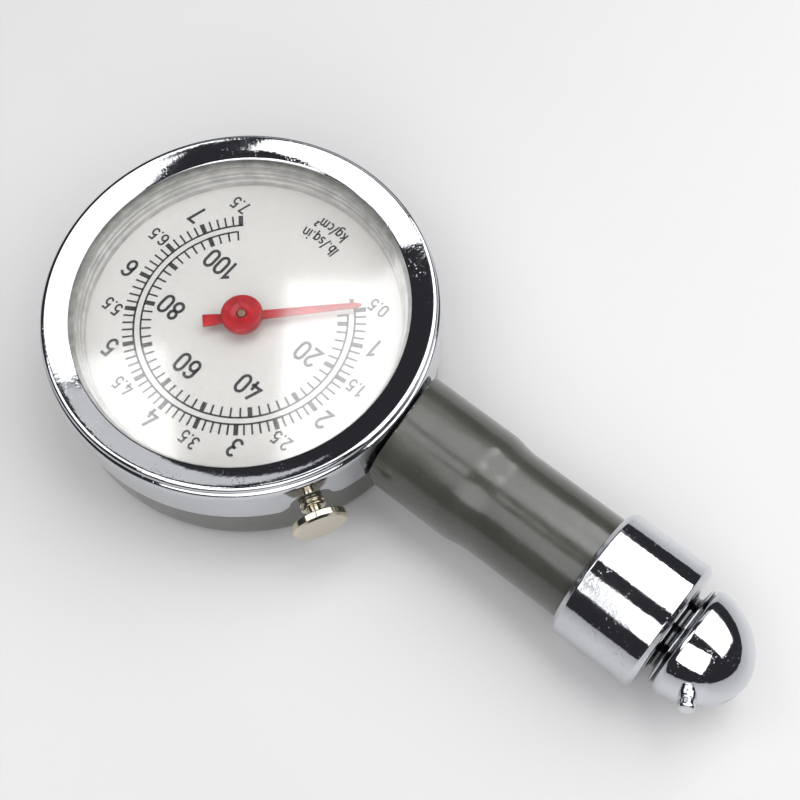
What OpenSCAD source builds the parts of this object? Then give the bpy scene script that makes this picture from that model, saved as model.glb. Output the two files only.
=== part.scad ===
// Hand-held dial tyre pressure gauge: case with dial, straight handle, angled chuck.
// The gauge lies on its back. Origin: centre of the case back. +Z out of the dial,
// +X along the handle towards the chuck. Millimetres.

/* [Case] */
// Outside diameter of the case cup
cup_d = 54.6; // [54:0.2:66]
// Height from the case back to the top of the bezel bead
case_h = 19.2; // [19:0.1:24]
// Wall of the case cup above the dial ledge
cup_wall = 1.2; // [1:0.1:2]
// Thickness of the case back
back_t = 1.4; // [1:0.1:1.6]
// Radius of the rounded edge round the case back
cup_corner = 3; // [1.5:0.1:3.2]
// Width of the ledge that the dial rests on
ledge_w = 0.9; // [0.6:0.1:1.2]

/* [Bezel and lens] */
// Wall of the bezel skirt
skirt_t = 0.45; // [0.3:0.05:0.8]
// Length of the bezel, from its bead down to the skirt's lower edge
bezel_l = 9.2; // [8:0.1:11]
// Radius of the rolled bead
bead_r = 0.75; // [0.5:0.05:1]
// Width of the bezel's lip over the lens
lip_w = 3.6; // [2.5:0.1:5]
// Depth of the lens below the top of the bead
lip_depth = 1.1; // [1:0.05:1.3]
// Thickness of the lens
lens_t = 1.2; // [0.8:0.1:1.5]
// Thickness of the lens gasket
gasket_t = 0.5; // [0.4:0.05:0.8]

/* [Dial] */
// Depth of the dial face below the underside of the lens
dial_depth = 3.7; // [3.4:0.1:4.5]
// Thickness of the dial plate
dial_t = 0.5; // [0.3:0.05:0.6]
// Radius of the window that the spacer ring leaves over the dial
window_r = 22.3; // [20:0.1:23]
// Angle of the first graduation, from the handle's direction
dial_start = 44.8; // [40:0.1:50]
// Radius on the dial at which the stop pin stands
stop_at = 15.4; // [13:0.1:16]
// Radius of the stop pin
stop_r = 0.35; // [0.25:0.05:0.5]

/* [Pointer] */
// Length of the pointer from its axis
pointer_l = 16.7; // [14:0.1:18]
// Length of the pointer's tail from its axis
tail_l = 5.6; // [4:0.1:8]
// Width of the pointer's tail
tail_w = 1.5; // [1:0.1:2]
// Radius of the pointer's hub
hub_r = 2.95; // [2.4:0.05:3.5]
// Height of the pointer above the dial face
pointer_up = 1.3; // [1:0.1:1.5]
// Radius of the pointer arbor
arbor_r = 0.6; // [0.5:0.05:0.7]

/* [Movement] */
// Gear module
gear_m = 0.3; // [0.25:0.01:0.32]
// Teeth on the pinion
pinion_z = 10; // [10:2:12]
// Teeth on the full circle of the sector
sector_z = 80; // [76:4:84]
// Direction of the sector's axis, from the handle's direction
sector_dir = 200; // [195:1:205]
// Length of the sector's tail
tail_arm = 3.6; // [3:0.1:3.8]
// Thickness of the movement plates
plate_t = 0.8; // [0.6:0.1:1]
// Clear height between the movement plates
plate_gap = 5.6; // [5.6:0.1:5.8]
// Gap between the sector's tail and the Bourdon tube
tube_gap = 0.43; // [0.3:0.01:0.8]
// Width of the Bourdon tube's section
tube_w = 2.6; // [2:0.1:3.1]
// Height of the Bourdon tube's section
tube_h = 7; // [6:0.1:7.4]
// Direction of the Bourdon tube's free end
tube_end = 244; // [236:1:245]

/* [Handle] */
// Height of the handle's axis above the case back
stem_z = 9.6; // [9.6:0.1:10]
// Sideways place of the handle's axis
stem_y = 2.4; // [0:0.1:2.6]
// Diameter of the thick end of the handle
handle_d1 = 16.9; // [13.6:0.1:17]
// Step down in diameter from the handle's thick end to its thin end
handle_step = 1.1; // [0.4:0.1:1.6]
// Gap between the case's boss and the handle, filled by a washer
neck_gap = 0.45; // [0.3:0.05:2]
// Length of the thick end of the handle
thick_l = 12.4; // [8:0.1:18]
// Length of the handle's taper
taper_l = 2.7; // [1:0.1:5]
// Length of the thin end of the handle
thin_l = 19.6; // [18:0.1:26]
// Wall of the handle's thin end
handle_wall = 1.5; // [1.2:0.1:2]
// Radius of the boss where the handle leaves the case
boss_r = 6.3; // [5:0.1:6.3]
// Radius of the socket's shank inside the boss
shank_r = 2.85; // [2.4:0.05:2.9]

/* [Chuck] */
// Wall of the chuck sleeve over the handle
sleeve_wall = 1.6; // [1:0.1:1.6]
// Length of the chuck sleeve
sleeve_l = 12.8; // [11:0.1:18]
// Depth to which the handle enters the sleeve
sleeve_grip = 3.9; // [3:0.1:5]
// Largest radius of the domed head
dome_r = 7.9; // [7.6:0.1:8.6]
// Length of the domed head from its ring to its tip
dome_l = 10.2; // [9.5:0.1:13]
// Angle of the valve mouth below the handle's axis
mouth_tilt = 55; // [50:1:60]
// Bore of the valve mouth
mouth_d = 8.3; // [8:0.1:8.4]
// Wall round the valve mouth
mouth_wall = 1.05; // [0.8:0.05:1.2]
// Diameter of the bleed pin
bleed_d = 2.3; // [1.8:0.1:2.6]

/* [Release button] */
// Direction of the button, from the handle's direction
button_dir = -29.8; // [-33:0.1:-28]
// Diameter of the button's head
button_d = 7.9; // [6:0.1:9]
// Thickness of the button's head
button_t = 1.4; // [1:0.1:2]
// Distance by which the button stands out beyond the bezel
button_out = 3.8; // [3.6:0.1:6]
// Diameter of the button's shaft
shaft_d = 1.9; // [1.6:0.1:2.3]
// Travel of the button
button_travel = 1.5; // [1:0.1:1.5]
// Diameter of the button's bush
bush_d = 3.5; // [3.2:0.1:3.8]

/* [Fits] */
// Radial clearance where one piece turns or slides in another
run = 0.05; // [0.03:0.01:0.08]
// Radial clearance where one piece is fixed in another
fix = 0.02; // [0.01:0.01:0.04]

/* [Hidden] */
$fn = 96;

// Case, bezel and lens, from the bead downwards
cup_r = cup_d / 2;
cup_in = cup_r - cup_wall;
ledge_r = cup_in - ledge_w;
skirt_in = cup_r + run;
skirt_out = skirt_in + skirt_t;
skirt_z = case_h - bezel_l;
lens_top = case_h - lip_depth;
lens_z = lens_top - lens_t;
cup_top = lens_z - gasket_t;
seat_w = 0.9;
lens_r = cup_r - seat_w - 0.1;
lip_r = skirt_out - lip_w - 0.5;
gasket_in = window_r + 0.9;
dial_z = lens_z - dial_depth;
dial_under = dial_z - dial_t;
dial_r = cup_in - 0.1;
arbor_top = dial_z + pointer_up + 1.6;

// Movement heights
screw_head_t = 0.7;
base_z = back_t + 0.5 + screw_head_t;
base_top = base_z + plate_t;
plate_z = base_top + plate_gap;
plate_top = plate_z + plate_t;
sector_bottom = base_top + 2.2;
sector_t = 1.2;
sector_top = sector_bottom + sector_t;
link_z = sector_top + 0.2;
link_t = 0.6;
lug_t = 0.7;
lug_z = link_z - 0.2 - lug_t;
pinion_l = sector_t + 0.6;
spiral_z = base_top + 4.4;
spiral_h = 0.7;

// Gears
pressure = 20;
tooth_fill = 0.86;
pinion_pitch = gear_m * pinion_z / 2;
sector_pitch = gear_m * sector_z / 2;
centres = pinion_pitch + sector_pitch;
sector_at = centres * [cos(sector_dir), sin(sector_dir)];
mesh_dir = sector_dir - 180;
sector_step = 360 / sector_z;
teeth_before = 10;
teeth_after = 2;

// Sector tail and link: the tail swings 34 degrees about a middle direction
sweep = 33.94;
tail_mid = -135;
tail_dir = tail_mid - sweep / 2;
tail_at = sector_at + tail_arm * [cos(tail_dir), sin(tail_dir)];
pull_dir = tail_mid + 90;
toward = [cos(pull_dir), sin(pull_dir)];
tail_eye_r = 1.2;
link_stroke = 2 * tail_arm * sin(sweep / 2);
link_bow = tail_arm * (1 - cos(sweep / 2));
link_pin_r = 0.6;

// Bourdon tube, just outside the sector's tail, and the link that reaches under its end
tube_r = norm(tail_at) + tail_eye_r + tube_gap + tube_w / 2;
far_r = tube_r - 0.7;
link_l = -tail_at * toward + sqrt((tail_at * toward) ^ 2 - tail_at * tail_at + far_r ^ 2);
link_far = tail_at + link_l * toward;

// Pillars, at places clear of the sector's sweep
pillar_r = 0.9;
pad_r = 2.1;
plate_screw_r = 0.5;
pillar_at = [[3.5, -5.2], [sector_at[0] - 2.8, sector_at[1] + 3.2], [-4, 9.5]];

tube_wall = 0.35;
tube_start = 17;
tube_mid_z = (base_top + dial_under) / 2 - 0.35;
tip_turn = 4;

// Socket block
block_z = base_top;
block_top = dial_under - 0.6;
block_in = tube_r - 7;
block_out = tube_r + 2.6;
block_side = 9;
face_at = tube_r + 0.6;
face_w = 7.2;
tube_leaves = asin(block_side / (tube_r - tube_w / 2)) + 2;
air_r = 0.8;
shank_shoulder = cup_in + 0.1;
neck_r = shank_r - 0.4;
boss_end = skirt_out - 0.05;
handle_x = boss_end + neck_gap;
saddle_l = handle_x - sqrt(handle_x ^ 2 - (stem_y + handle_d1 / 2) ^ 2) + 1;
shank_end = handle_x + 4.8;
tongue_w = 7;
socket_screw_r = 0.8;
socket_screw_at = [tube_r - 4.6, tube_r - 0.4];

// Release valve, measured along the button's direction
button_reach = skirt_out + button_out;
button_z = dial_under - bush_d / 2 - 0.6;
shaft_r = shaft_d / 2;
bush_r = bush_d / 2;
bush_in = ledge_r - 0.6;
bush_l = skirt_out + 0.8 - bush_in;
clip_t = 0.5;
clip_r = bush_r - 0.1;
clip_at = bush_in - clip_t;
chamber_r = 1.75;
poppet_r = chamber_r - 0.1;
poppet_l = 2.4;
poppet_end = face_at - 0.6;
chamber_l = poppet_l + button_travel + 1.2;

// Handle and check valve, measured along the handle
handle_d2 = handle_d1 - handle_step;
taper_x = handle_x + thick_l;
thin_x = taper_x + taper_l;
handle_end = thin_x + thin_l;
handle_in = handle_d2 / 2 - handle_wall;
handle_wall_end = handle_x + 3.8;
shank_bore = neck_r + fix;
check_l = 14;
chuck_start = handle_end - 4.7;
check_end = chuck_start - 0.05;
check_start = check_end - check_l;
check_r = handle_in - run;
poppet_chamber_r = 3;
check_poppet_r = poppet_chamber_r - 0.08;
check_poppet_l = 2.4;
air_tube_r = 1.5;
air_socket = 2;

// Chuck
sleeve_x = handle_end - sleeve_grip;
sleeve_r = handle_d2 / 2 + run + sleeve_wall;
sleeve_end = sleeve_x + sleeve_l;
sleeve_chamfer = 0.7;
chuck_shank_r = handle_in - 0.1;
waist_l = 1.2;
ring_x = sleeve_end + waist_l;
ring_r = dome_r - 0.6;
ring_t = 0.4;
dome_x = ring_x + ring_t + 0.1;
tip_x = ring_x + dome_l;
mouth_from = [dome_x + 2.1, stem_y, stem_z];
mouth_face = 6.2;
mouth_floor = 0.6;
mouth_r = mouth_d / 2;
pocket_r = mouth_r + 0.25;
carrier_t = 0.7;
mouth_seal_t = 1.6;
depressor_r = 0.75;
depressor_out = 0.4;
depressor_l = carrier_t + mouth_seal_t + depressor_out;
pocket_l = depressor_l + 0.05;
bleed_from = [dome_x + 1.4, stem_y, stem_z];
bleed_turn = -62.8;
bleed_lift = 19.9;
bleed_root = 4.6;
bleed_tip = 10;

// ---- helpers ----

// Turns a shape made along +Z so that it runs along +X on the handle's axis
module on_stem(x = 0) {
    translate([x, stem_y, stem_z]) rotate([0, 90, 0]) children();
}

// Turns a shape made along +Z so that it runs along the button's direction
module on_button(r = 0) {
    rotate([0, 0, button_dir]) translate([r, 0, button_z]) rotate([0, 90, 0]) children();
}

// Turns a shape made along +Z so that it runs out of the valve mouth
module on_mouth(s = 0) {
    translate(mouth_from) rotate([0, 90 + mouth_tilt, 0]) translate([0, 0, s]) children();
}

// Turns a shape made along +Z so that it runs along the bleed pin
module on_bleed(s = 0) {
    translate(bleed_from) rotate([0, 0, bleed_turn]) rotate([0, 90 - bleed_lift, 0])
        translate([0, 0, s]) children();
}

module tube(r_out, r_in, h) {
    difference() {
        cylinder(r = r_out, h = h);
        translate([0, 0, -1]) cylinder(r = r_in, h = h + 2);
    }
}

// Flat strip from point a to point b, r wide on each side
module strip(a, b, r) {
    d = b - a;
    translate(a) rotate(atan2(d[1], d[0])) translate([0, -r]) square([norm(d), 2 * r]);
}

// Flat bar with round ends from point a to point b
module bar(a, b, r) {
    translate(a) circle(r);
    translate(b) circle(r);
    strip(a, b, r);
}

// Points of an arc about c, from angle a0 to a1
function arc(c, r, a0, a1, n) =
    [for (i = [0:n]) c + r * [cos(a0 + (a1 - a0) * i / n), sin(a0 + (a1 - a0) * i / n)]];

// Involute of an angle, in degrees
function involute(a) = tan(a) * 180 / PI - a;

// Half the angle that a tooth takes up at radius r
function tooth_half(z, r) =
    let (base = gear_m * z / 2 * cos(pressure), a = acos(base / max(r, base)))
    90 / z * tooth_fill + involute(pressure) - involute(a);

// Radii along a tooth's flank
function flank_radii(z) =
    let (pitch = gear_m * z / 2, foot = pitch - 1.7 * gear_m, tip = pitch + 0.85 * gear_m)
    [for (i = [0:5]) foot + (tip - foot) * i / 5];

module tooth(z, at) {
    radii = flank_radii(z);
    out = [for (r = radii) r * [cos(at - tooth_half(z, r)), sin(at - tooth_half(z, r))]];
    back = [for (i = [5:-1:0]) let (r = radii[i])
        r * [cos(at + tooth_half(z, r)), sin(at + tooth_half(z, r))]];
    polygon(concat(out, back));
}

// Coil spring along +Z: rings of a round wire section that climb with the turns
module coil(r, wire_r, turns, l) {
    sides = 6;
    per_turn = 20;
    count = turns * per_turn;
    rise = l - 2 * wire_r;
    points = [for (i = [0:count]) let (a = 360 * i / per_turn, z = wire_r + rise * i / count)
        for (k = [0:sides - 1]) let (b = 360 * k / sides)
            [(r + wire_r * cos(b)) * cos(a), (r + wire_r * cos(b)) * sin(a), z + wire_r * sin(b)]];
    skin = [for (i = [0:count - 1]) for (k = [0:sides - 1])
        [i * sides + k, (i + 1) * sides + k,
         (i + 1) * sides + (k + 1) % sides, i * sides + (k + 1) % sides]];
    first = [[for (k = [0:sides - 1]) k]];
    last = [[for (k = [sides - 1:-1:0]) count * sides + k]];
    polyhedron(points, concat(skin, first, last));
}

// Pan-head screw with a slot, head down at z = 0, shank upwards
module pan_screw(r, l, head_r, head_t) {
    difference() {
        union() {
            cylinder(r = head_r, h = head_t);
            cylinder(r = r, h = head_t + l);
        }
        translate([-head_r - 1, -0.15, -1]) cube([2 * head_r + 2, 0.3, 1.3]);
    }
}

// ---- case ----

module case_cup() {
    outline = concat(
        [[0, 0]],
        arc([cup_r - cup_corner, cup_corner], cup_corner, -90, 0, 8),
        [[cup_r, cup_top], [cup_in, cup_top], [cup_in, dial_under],
         [ledge_r, dial_under], [ledge_r, back_t + 1], [ledge_r - 1, back_t], [0, back_t]]);
    color("dimgray") difference() {
        rotate_extrude($fn = 128) polygon(outline);
        on_stem(cup_r - 8) cylinder(r = boss_r + fix, h = 12);
        on_button(ledge_r - 2) cylinder(r = bush_r + fix, h = 8);
    }
}

module bezel_ring() {
    shoulder_r = 1.2;
    shoulder_at = [skirt_out - shoulder_r, case_h - bead_r - 1.15];
    bead_at = [skirt_out - 1.25, case_h - bead_r];
    outline = concat(
        [[skirt_in, skirt_z], [skirt_out, skirt_z]],
        arc(shoulder_at, shoulder_r, 0, 52, 5),
        arc(bead_at, bead_r, -8, 107, 8),
        [[lip_r + 0.2, lens_top + 0.2], [lip_r, lens_top + 0.1], [lip_r, lens_top],
         [lens_r + 0.1, lens_top], [lens_r + 0.1, cup_top], [skirt_in, cup_top]]);
    color("silver") difference() {
        rotate_extrude($fn = 128) polygon(outline);
        skirt_arch(boss_r + 0.45, stem_z, 0, stem_y);
        skirt_arch(3, button_z + 0.9, button_dir, 0);
    }
}

// Round-topped way through the skirt, flared at its foot
module skirt_arch(r, z, turn, y) {
    flare = 1.3;
    reach = 12;
    rotate([0, 0, turn]) translate([cup_r - 8, y, 0]) {
        translate([0, 0, z]) rotate([0, 90, 0]) cylinder(r = r, h = reach);
        rotate([90, 0, 90]) linear_extrude(reach)
            polygon([[-r, z], [-r, skirt_z + flare], [-r - flare, skirt_z - 0.01],
                [-r - flare, skirt_z - 1], [r + flare, skirt_z - 1],
                [r + flare, skirt_z - 0.01], [r, skirt_z + flare], [r, z]]);
    }
}

module lens() {
    color("aliceblue", 0.35) translate([0, 0, lens_z]) cylinder(r = lens_r, h = lens_t);
}

module lens_gasket() {
    color("gray") translate([0, 0, cup_top]) tube(lens_r, gasket_in, gasket_t);
}

module dial_spacer() {
    r_out = cup_in - 0.05;
    color("darkgray") rotate_extrude($fn = 128)
        polygon([[window_r, dial_z], [r_out, dial_z], [r_out, cup_top],
            [window_r + 0.7, cup_top], [window_r + 0.5, dial_z + 1.6],
            [window_r + 0.1, dial_z + 1.4], [window_r, dial_z + 0.6]]);
}

module dial_plate() {
    color("whitesmoke") difference() {
        translate([0, 0, dial_under]) cylinder(r = dial_r, h = dial_t, $fn = 128);
        translate([0, 0, dial_under - 1]) cylinder(r = arbor_r + 0.5, h = dial_t + 2);
        at_stop() translate([0, 0, dial_under - 1]) cylinder(r = stop_r + fix, h = dial_t + 2);
    }
}

// The stop pin stands just behind the resting pointer
module at_stop() {
    behind = asin((needle_half(stop_at) + stop_r + 0.12) / stop_at);
    rotate([0, 0, dial_start + behind]) translate([stop_at, 0, 0]) children();
}

module stop_pin() {
    color("silver") at_stop() translate([0, 0, dial_under])
        cylinder(r = stop_r, h = dial_t + pointer_up + 1.4, $fn = 32);
}

// ---- pointer ----

// Half the pointer's width at radius r
function needle_half(r) = 0.75 - (0.75 - 0.26) * r / pointer_l;

module pointer() {
    thick = 0.45;
    color("red") translate([0, 0, dial_z + pointer_up]) linear_extrude(thick) difference() {
        rotate(dial_start) {
            circle(hub_r - 0.15);
            polygon([[0, -needle_half(0)], [pointer_l - 0.3, -needle_half(pointer_l)],
                [pointer_l, 0], [pointer_l - 0.3, needle_half(pointer_l)], [0, needle_half(0)]]);
            translate([-tail_l, -tail_w / 2]) square([tail_l, tail_w]);
        }
        circle(arbor_r + fix);
    }
}

module pointer_hub() {
    z = dial_z + pointer_up + 0.45;
    color("firebrick") rotate_extrude()
        polygon(concat(
            [[arbor_r + fix, z], [hub_r - 0.1, z], [hub_r, z + 0.15]],
            arc([hub_r - 0.35, z + 0.65], 0.35, 0, 90, 4),
            [[arbor_r + 0.7, z + 1.08], [arbor_r + fix, z + 0.85]]));
}

module pointer_arbor() {
    color("goldenrod") translate([0, 0, base_z]) cylinder(r = arbor_r, h = arbor_top - base_z);
}

module pinion() {
    color("gold") translate([0, 0, sector_bottom - 0.3]) linear_extrude(pinion_l) difference() {
        union() {
            circle(pinion_pitch - 1.2 * gear_m, $fn = 48);
            for (i = [0:pinion_z - 1]) tooth(pinion_z, sector_dir + i * 360 / pinion_z);
        }
        circle(arbor_r + fix, $fn = 48);
    }
}

module spring_collet() {
    color("gold") translate([0, 0, spiral_z - 0.1]) tube(1.3, arbor_r + fix, spiral_h + 0.2);
}

// Flat spiral strip whose radius grows evenly with the turn
module hairspring() {
    turns = 3.5;
    steps = 84;
    inner = 1.45;
    growth = 3;
    half = 0.07;
    side = function (s, off) let (a = 360 * turns * s, r = inner + growth * s + off)
        r * [cos(a), sin(a)];
    color("lightsteelblue") translate([0, 0, spiral_z]) linear_extrude(spiral_h)
        polygon(concat([for (i = [0:steps]) side(i / steps, half)],
            [for (i = [steps:-1:0]) side(i / steps, -half)]));
}

module hairspring_stud() {
    stud_r = 0.4;
    color("gold") translate([-4.45 - 0.12 - stud_r, 0, spiral_z])
        cylinder(r = stud_r, h = plate_z - spiral_z, $fn = 32);
}

// ---- movement ----

module plate_outline() {
    hub = [0, 0];
    arm = pad_r - 0.4;
    circle(5.6);
    for (p = pillar_at) translate(p) circle(pad_r);
    translate(sector_at) circle(pad_r);
    strip(hub, pillar_at[2], arm);
    strip(pillar_at[2], pillar_at[1], arm);
    strip(pillar_at[1], sector_at, arm);
    strip(hub, sector_at, arm);
}

module plate_holes(screws) {
    circle(arbor_r + run);
    translate(sector_at) circle(arbor_r + run);
    for (p = pillar_at) translate(p) circle(screws ? plate_screw_r + fix : pillar_r * 0.6);
}

module base_plate() {
    color("gold") translate([0, 0, base_z]) linear_extrude(plate_t) difference() {
        union() {
            plate_outline();
            translate([0, -tongue_w / 2]) square([block_out - 0.6, tongue_w]);
        }
        plate_holes(false);
        for (x = socket_screw_at) translate([x, 0]) circle(socket_screw_r + fix);
    }
}

module top_plate() {
    color("gold") translate([0, 0, plate_z]) linear_extrude(plate_t) difference() {
        plate_outline();
        plate_holes(true);
    }
}

module plate_pillars() {
    color("goldenrod") for (p = pillar_at) translate([p[0], p[1], base_top])
        difference() {
            cylinder(r = pillar_r, h = plate_gap, $fn = 48);
            translate([0, 0, plate_gap - 2.5]) cylinder(r = plate_screw_r + fix, h = 3, $fn = 48);
        }
}

module plate_screws() {
    color("silver") for (p = pillar_at) translate([p[0], p[1], plate_top + screw_head_t])
        mirror([0, 0, 1]) pan_screw(plate_screw_r, plate_t + 2, 1.1, screw_head_t, $fn = 48);
}

module sector_gear() {
    root = sector_pitch - 1.25 * gear_m;
    inner = root - 2.2;
    from = mesh_dir - (teeth_before + 0.5) * sector_step;
    to = mesh_dir + (teeth_after + 0.9) * sector_step;
    far = tail_arm * [cos(tail_dir), sin(tail_dir)];
    rim = concat(arc([0, 0], root + 0.02, from, to, 16), arc([0, 0], inner, to, from, 16));
    color("khaki") translate([sector_at[0], sector_at[1], sector_bottom])
        linear_extrude(sector_t) difference() {
            union() {
                circle(2.2);
                polygon(rim);
                for (a = [from + 5, to - 5])
                    bar([0, 0], (inner + 0.8) * [cos(a), sin(a)], 0.7);
                for (i = [-teeth_before:teeth_after])
                    tooth(sector_z, mesh_dir + (i + 0.5) * sector_step);
                bar([0, 0], far, tail_eye_r);
            }
            circle(arbor_r + fix);
            translate(far) circle(link_pin_r + run);
        }
}

module sector_arbor() {
    color("goldenrod") translate([sector_at[0], sector_at[1], base_z])
        cylinder(r = arbor_r, h = plate_top - base_z);
}

module link() {
    color("gold") translate([0, 0, link_z]) linear_extrude(link_t) difference() {
        union() {
            bar(tail_at, link_far, 0.7);
            translate(tail_at) circle(tail_eye_r);
            translate(link_far) circle(tail_eye_r);
        }
        translate(tail_at) circle(link_pin_r + fix);
        translate(link_far) circle(link_pin_r + fix);
    }
}

module link_pivot() {
    color("silver") translate([tail_at[0], tail_at[1], sector_bottom - 0.1])
        cylinder(r = link_pin_r, h = link_z + link_t + 0.3 - sector_bottom, $fn = 48);
}

module link_screw() {
    color("silver") translate([link_far[0], link_far[1], lug_z - 0.3])
        cylinder(r = link_pin_r, h = link_z + link_t + 0.6 - lug_z, $fn = 48);
}

// ---- Bourdon tube and socket ----

// Flattened tube section: a bar with round ends, grown by a margin
module tube_section(grow) {
    half = tube_w / 2 + grow;
    straight = tube_h / 2 - tube_w / 2;
    translate([tube_r, tube_mid_z]) {
        translate([0, straight]) circle(half, $fn = 48);
        translate([0, -straight]) circle(half, $fn = 48);
        translate([-half, -straight]) square([2 * half, 2 * straight]);
    }
}

module tube_sweep(from, to, grow) {
    rotate([0, 0, from]) rotate_extrude(angle = to - from, $fn = 128) tube_section(grow);
}

module bourdon_tube() {
    color("peru") difference() {
        tube_sweep(tube_start, tube_end, 0);
        tube_sweep(tube_start - 1, tube_end + 1, -tube_wall);
    }
}

module tube_tip() {
    slot_half = link_pin_r + link_bow / 2 + 0.2;
    slot_mid = link_far + toward * link_stroke / 2
        + [cos(tail_mid), sin(tail_mid)] * link_bow / 2;
    cap_mid = tube_r * [cos(tube_end + tip_turn / 2), sin(tube_end + tip_turn / 2)];
    color("goldenrod") {
        tube_sweep(tube_end, tube_end + tip_turn, 0);
        translate([0, 0, lug_z]) linear_extrude(lug_t) difference() {
            bar(cap_mid, slot_mid, slot_half + 0.9);
            bar(slot_mid - toward * link_stroke / 2, slot_mid + toward * link_stroke / 2, slot_half);
            circle(tube_r - tube_w / 2 - 1.4);
            intersection() {
                circle(tube_r + tube_w);
                polygon([[0, 0], for (a = [tube_end - 20, tube_end - 0.1])
                    3 * tube_r * [cos(a), sin(a)]]);
            }
        }
    }
}

// Outline of the socket block, with a flat face square to the button
module block_outline() {
    along = [cos(button_dir), sin(button_dir)];
    across = [-sin(button_dir), cos(button_dir)];
    face = face_at * along;
    polygon([[block_in, block_side], [block_out, block_side], [block_out, -3.5],
        face + across * face_w / 2, face - across * face_w / 2,
        face - across * face_w / 2 - along * 7, [block_in, -5]]);
}

module socket_block() {
    shank_x = block_out - 0.5;
    color("goldenrod") difference() {
        union() {
            translate([0, 0, block_z]) linear_extrude(block_top - block_z) block_outline();
            on_stem(shank_x) cylinder(r = shank_r, h = shank_shoulder - shank_x);
            on_stem(shank_x) cylinder(r = neck_r, h = shank_end - shank_x);
        }
        on_stem(block_in + 3) cylinder(r = air_r, h = shank_end - block_in);
        on_stem(shank_end - air_socket) cylinder(r = air_tube_r + fix, h = air_socket + 1);
        translate([tube_r - 0.7, stem_y, stem_z]) rotate([-90, 0, 0]) cylinder(r = air_r, h = 4.5);
        translate([block_in + 3.6, stem_y, button_z]) rotate([90, 0, 0])
            cylinder(r = air_r, h = 9.5);
        tube_sweep(tube_start, tube_leaves, fix);
        on_button(face_at - chamber_l) cylinder(r = chamber_r, h = chamber_l + 1);
        for (x = socket_screw_at) translate([x, 0, block_z - 1])
            cylinder(r = socket_screw_r + fix, h = 3.6, $fn = 48);
    }
}

module socket_screws() {
    color("silver") for (x = socket_screw_at) translate([x, 0, base_z - screw_head_t])
        pan_screw(socket_screw_r, plate_t + 2.2, 1.5, screw_head_t, $fn = 48);
}

// Boss, washer and handle end follow the round of the case
module neck_boss() {
    color("dimgray") intersection() {
        on_stem(shank_shoulder) tube(boss_r, neck_r + fix, boss_end - shank_shoulder + 1);
        cylinder(r = boss_end, h = case_h, $fn = 128);
    }
}

module neck_washer() {
    color("silver") intersection() {
        on_stem(handle_x - saddle_l) tube(boss_r - 0.9, neck_r + fix, saddle_l + 1);
        tube(handle_x, boss_end, case_h, $fn = 128);
    }
}

// ---- release button ----

module release_button() {
    head_at = button_reach - button_t;
    rim = 0.3;
    color("wheat") on_button(poppet_end) rotate_extrude() {
        l = head_at - poppet_end;
        polygon([[0, 0], [shaft_r, 0], [shaft_r, l], [button_d / 2 - 0.15, l],
            [button_d / 2, l + 0.15],
            [button_d / 2, l + button_t - rim], [button_d / 2 - rim, l + button_t],
            [0, l + button_t]]);
    }
}

module button_bush() {
    ridges = 3;
    ridge_l = 0.35;
    plain_l = bush_l - ridges * 2 * ridge_l;
    ridge_points = [for (i = [0:ridges - 1]) each [
        [bush_r - 0.25, plain_l + i * 2 * ridge_l],
        [bush_r - 0.25, plain_l + (i * 2 + 0.6) * ridge_l],
        [bush_r, plain_l + (i * 2 + 1) * ridge_l],
        [bush_r, plain_l + (i * 2 + 1.8) * ridge_l]]];
    color("wheat") on_button(bush_in) rotate_extrude()
        polygon(concat([[shaft_r + run, 0], [bush_r, 0], [bush_r, plain_l]], ridge_points,
            [[bush_r - 0.3, bush_l], [shaft_r + run, bush_l]]));
}

module button_clip() {
    color("silver") on_button(clip_at) tube(clip_r, shaft_r + fix, clip_t);
}

module button_spring() {
    wire = 0.15;
    color("silver") on_button(face_at + 0.02)
        coil(shaft_r + wire + 0.12, wire, 5, clip_at - face_at - 0.04);
}

module release_poppet() {
    groove = 0.8;
    color("goldenrod") on_button(poppet_end - poppet_l) rotate_extrude()
        polygon([[0, 0], [poppet_r - 0.3, 0], [poppet_r, 0.3], [poppet_r, groove],
            [poppet_r - 0.5, groove], [poppet_r - 0.5, groove + 0.6], [poppet_r, groove + 0.6],
            [poppet_r, poppet_l], [0, poppet_l]]);
}

module release_seal() {
    color("black") on_button(poppet_end - poppet_l + 0.8)
        tube(chamber_r - 0.03, poppet_r - 0.5 + 0.01, 0.6);
}

// ---- handle ----

module handle_tube() {
    r1 = handle_d1 / 2;
    r2 = handle_d2 / 2;
    x0 = handle_x - saddle_l;
    color("dimgray") difference() {
        on_stem(x0) rotate_extrude($fn = 128)
            polygon([[shank_bore, 0], [r1, 0], [r1, taper_x - x0], [r2, taper_x + taper_l - x0],
                [r2, handle_end - x0], [handle_in, handle_end - x0],
                [handle_in, handle_wall_end - x0], [shank_bore, handle_wall_end - x0]]);
        translate([0, 0, -1]) cylinder(r = handle_x, h = case_h + 2, $fn = 128);
    }
}

module air_tube() {
    from = shank_end - air_socket;
    color("peru") on_stem(from) tube(air_tube_r, 1, check_start + air_socket - from);
}

module check_body() {
    chamber_from = check_l - 9;
    color("goldenrod") on_stem(check_start) difference() {
        cylinder(r = check_r, h = check_l);
        translate([0, 0, -1]) cylinder(r = air_tube_r + fix, h = air_socket + 1);
        translate([0, 0, -1]) cylinder(r = air_r, h = check_l);
        translate([0, 0, chamber_from]) cylinder(r = poppet_chamber_r, h = check_l);
        translate([0, 0, 5]) tube(check_r + 1, check_r - 0.9, 1.2);
    }
}

module check_oring() {
    color("black") on_stem(check_start + 5.1) tube(check_r + 0.03, check_r - 0.88, 1);
}

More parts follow.
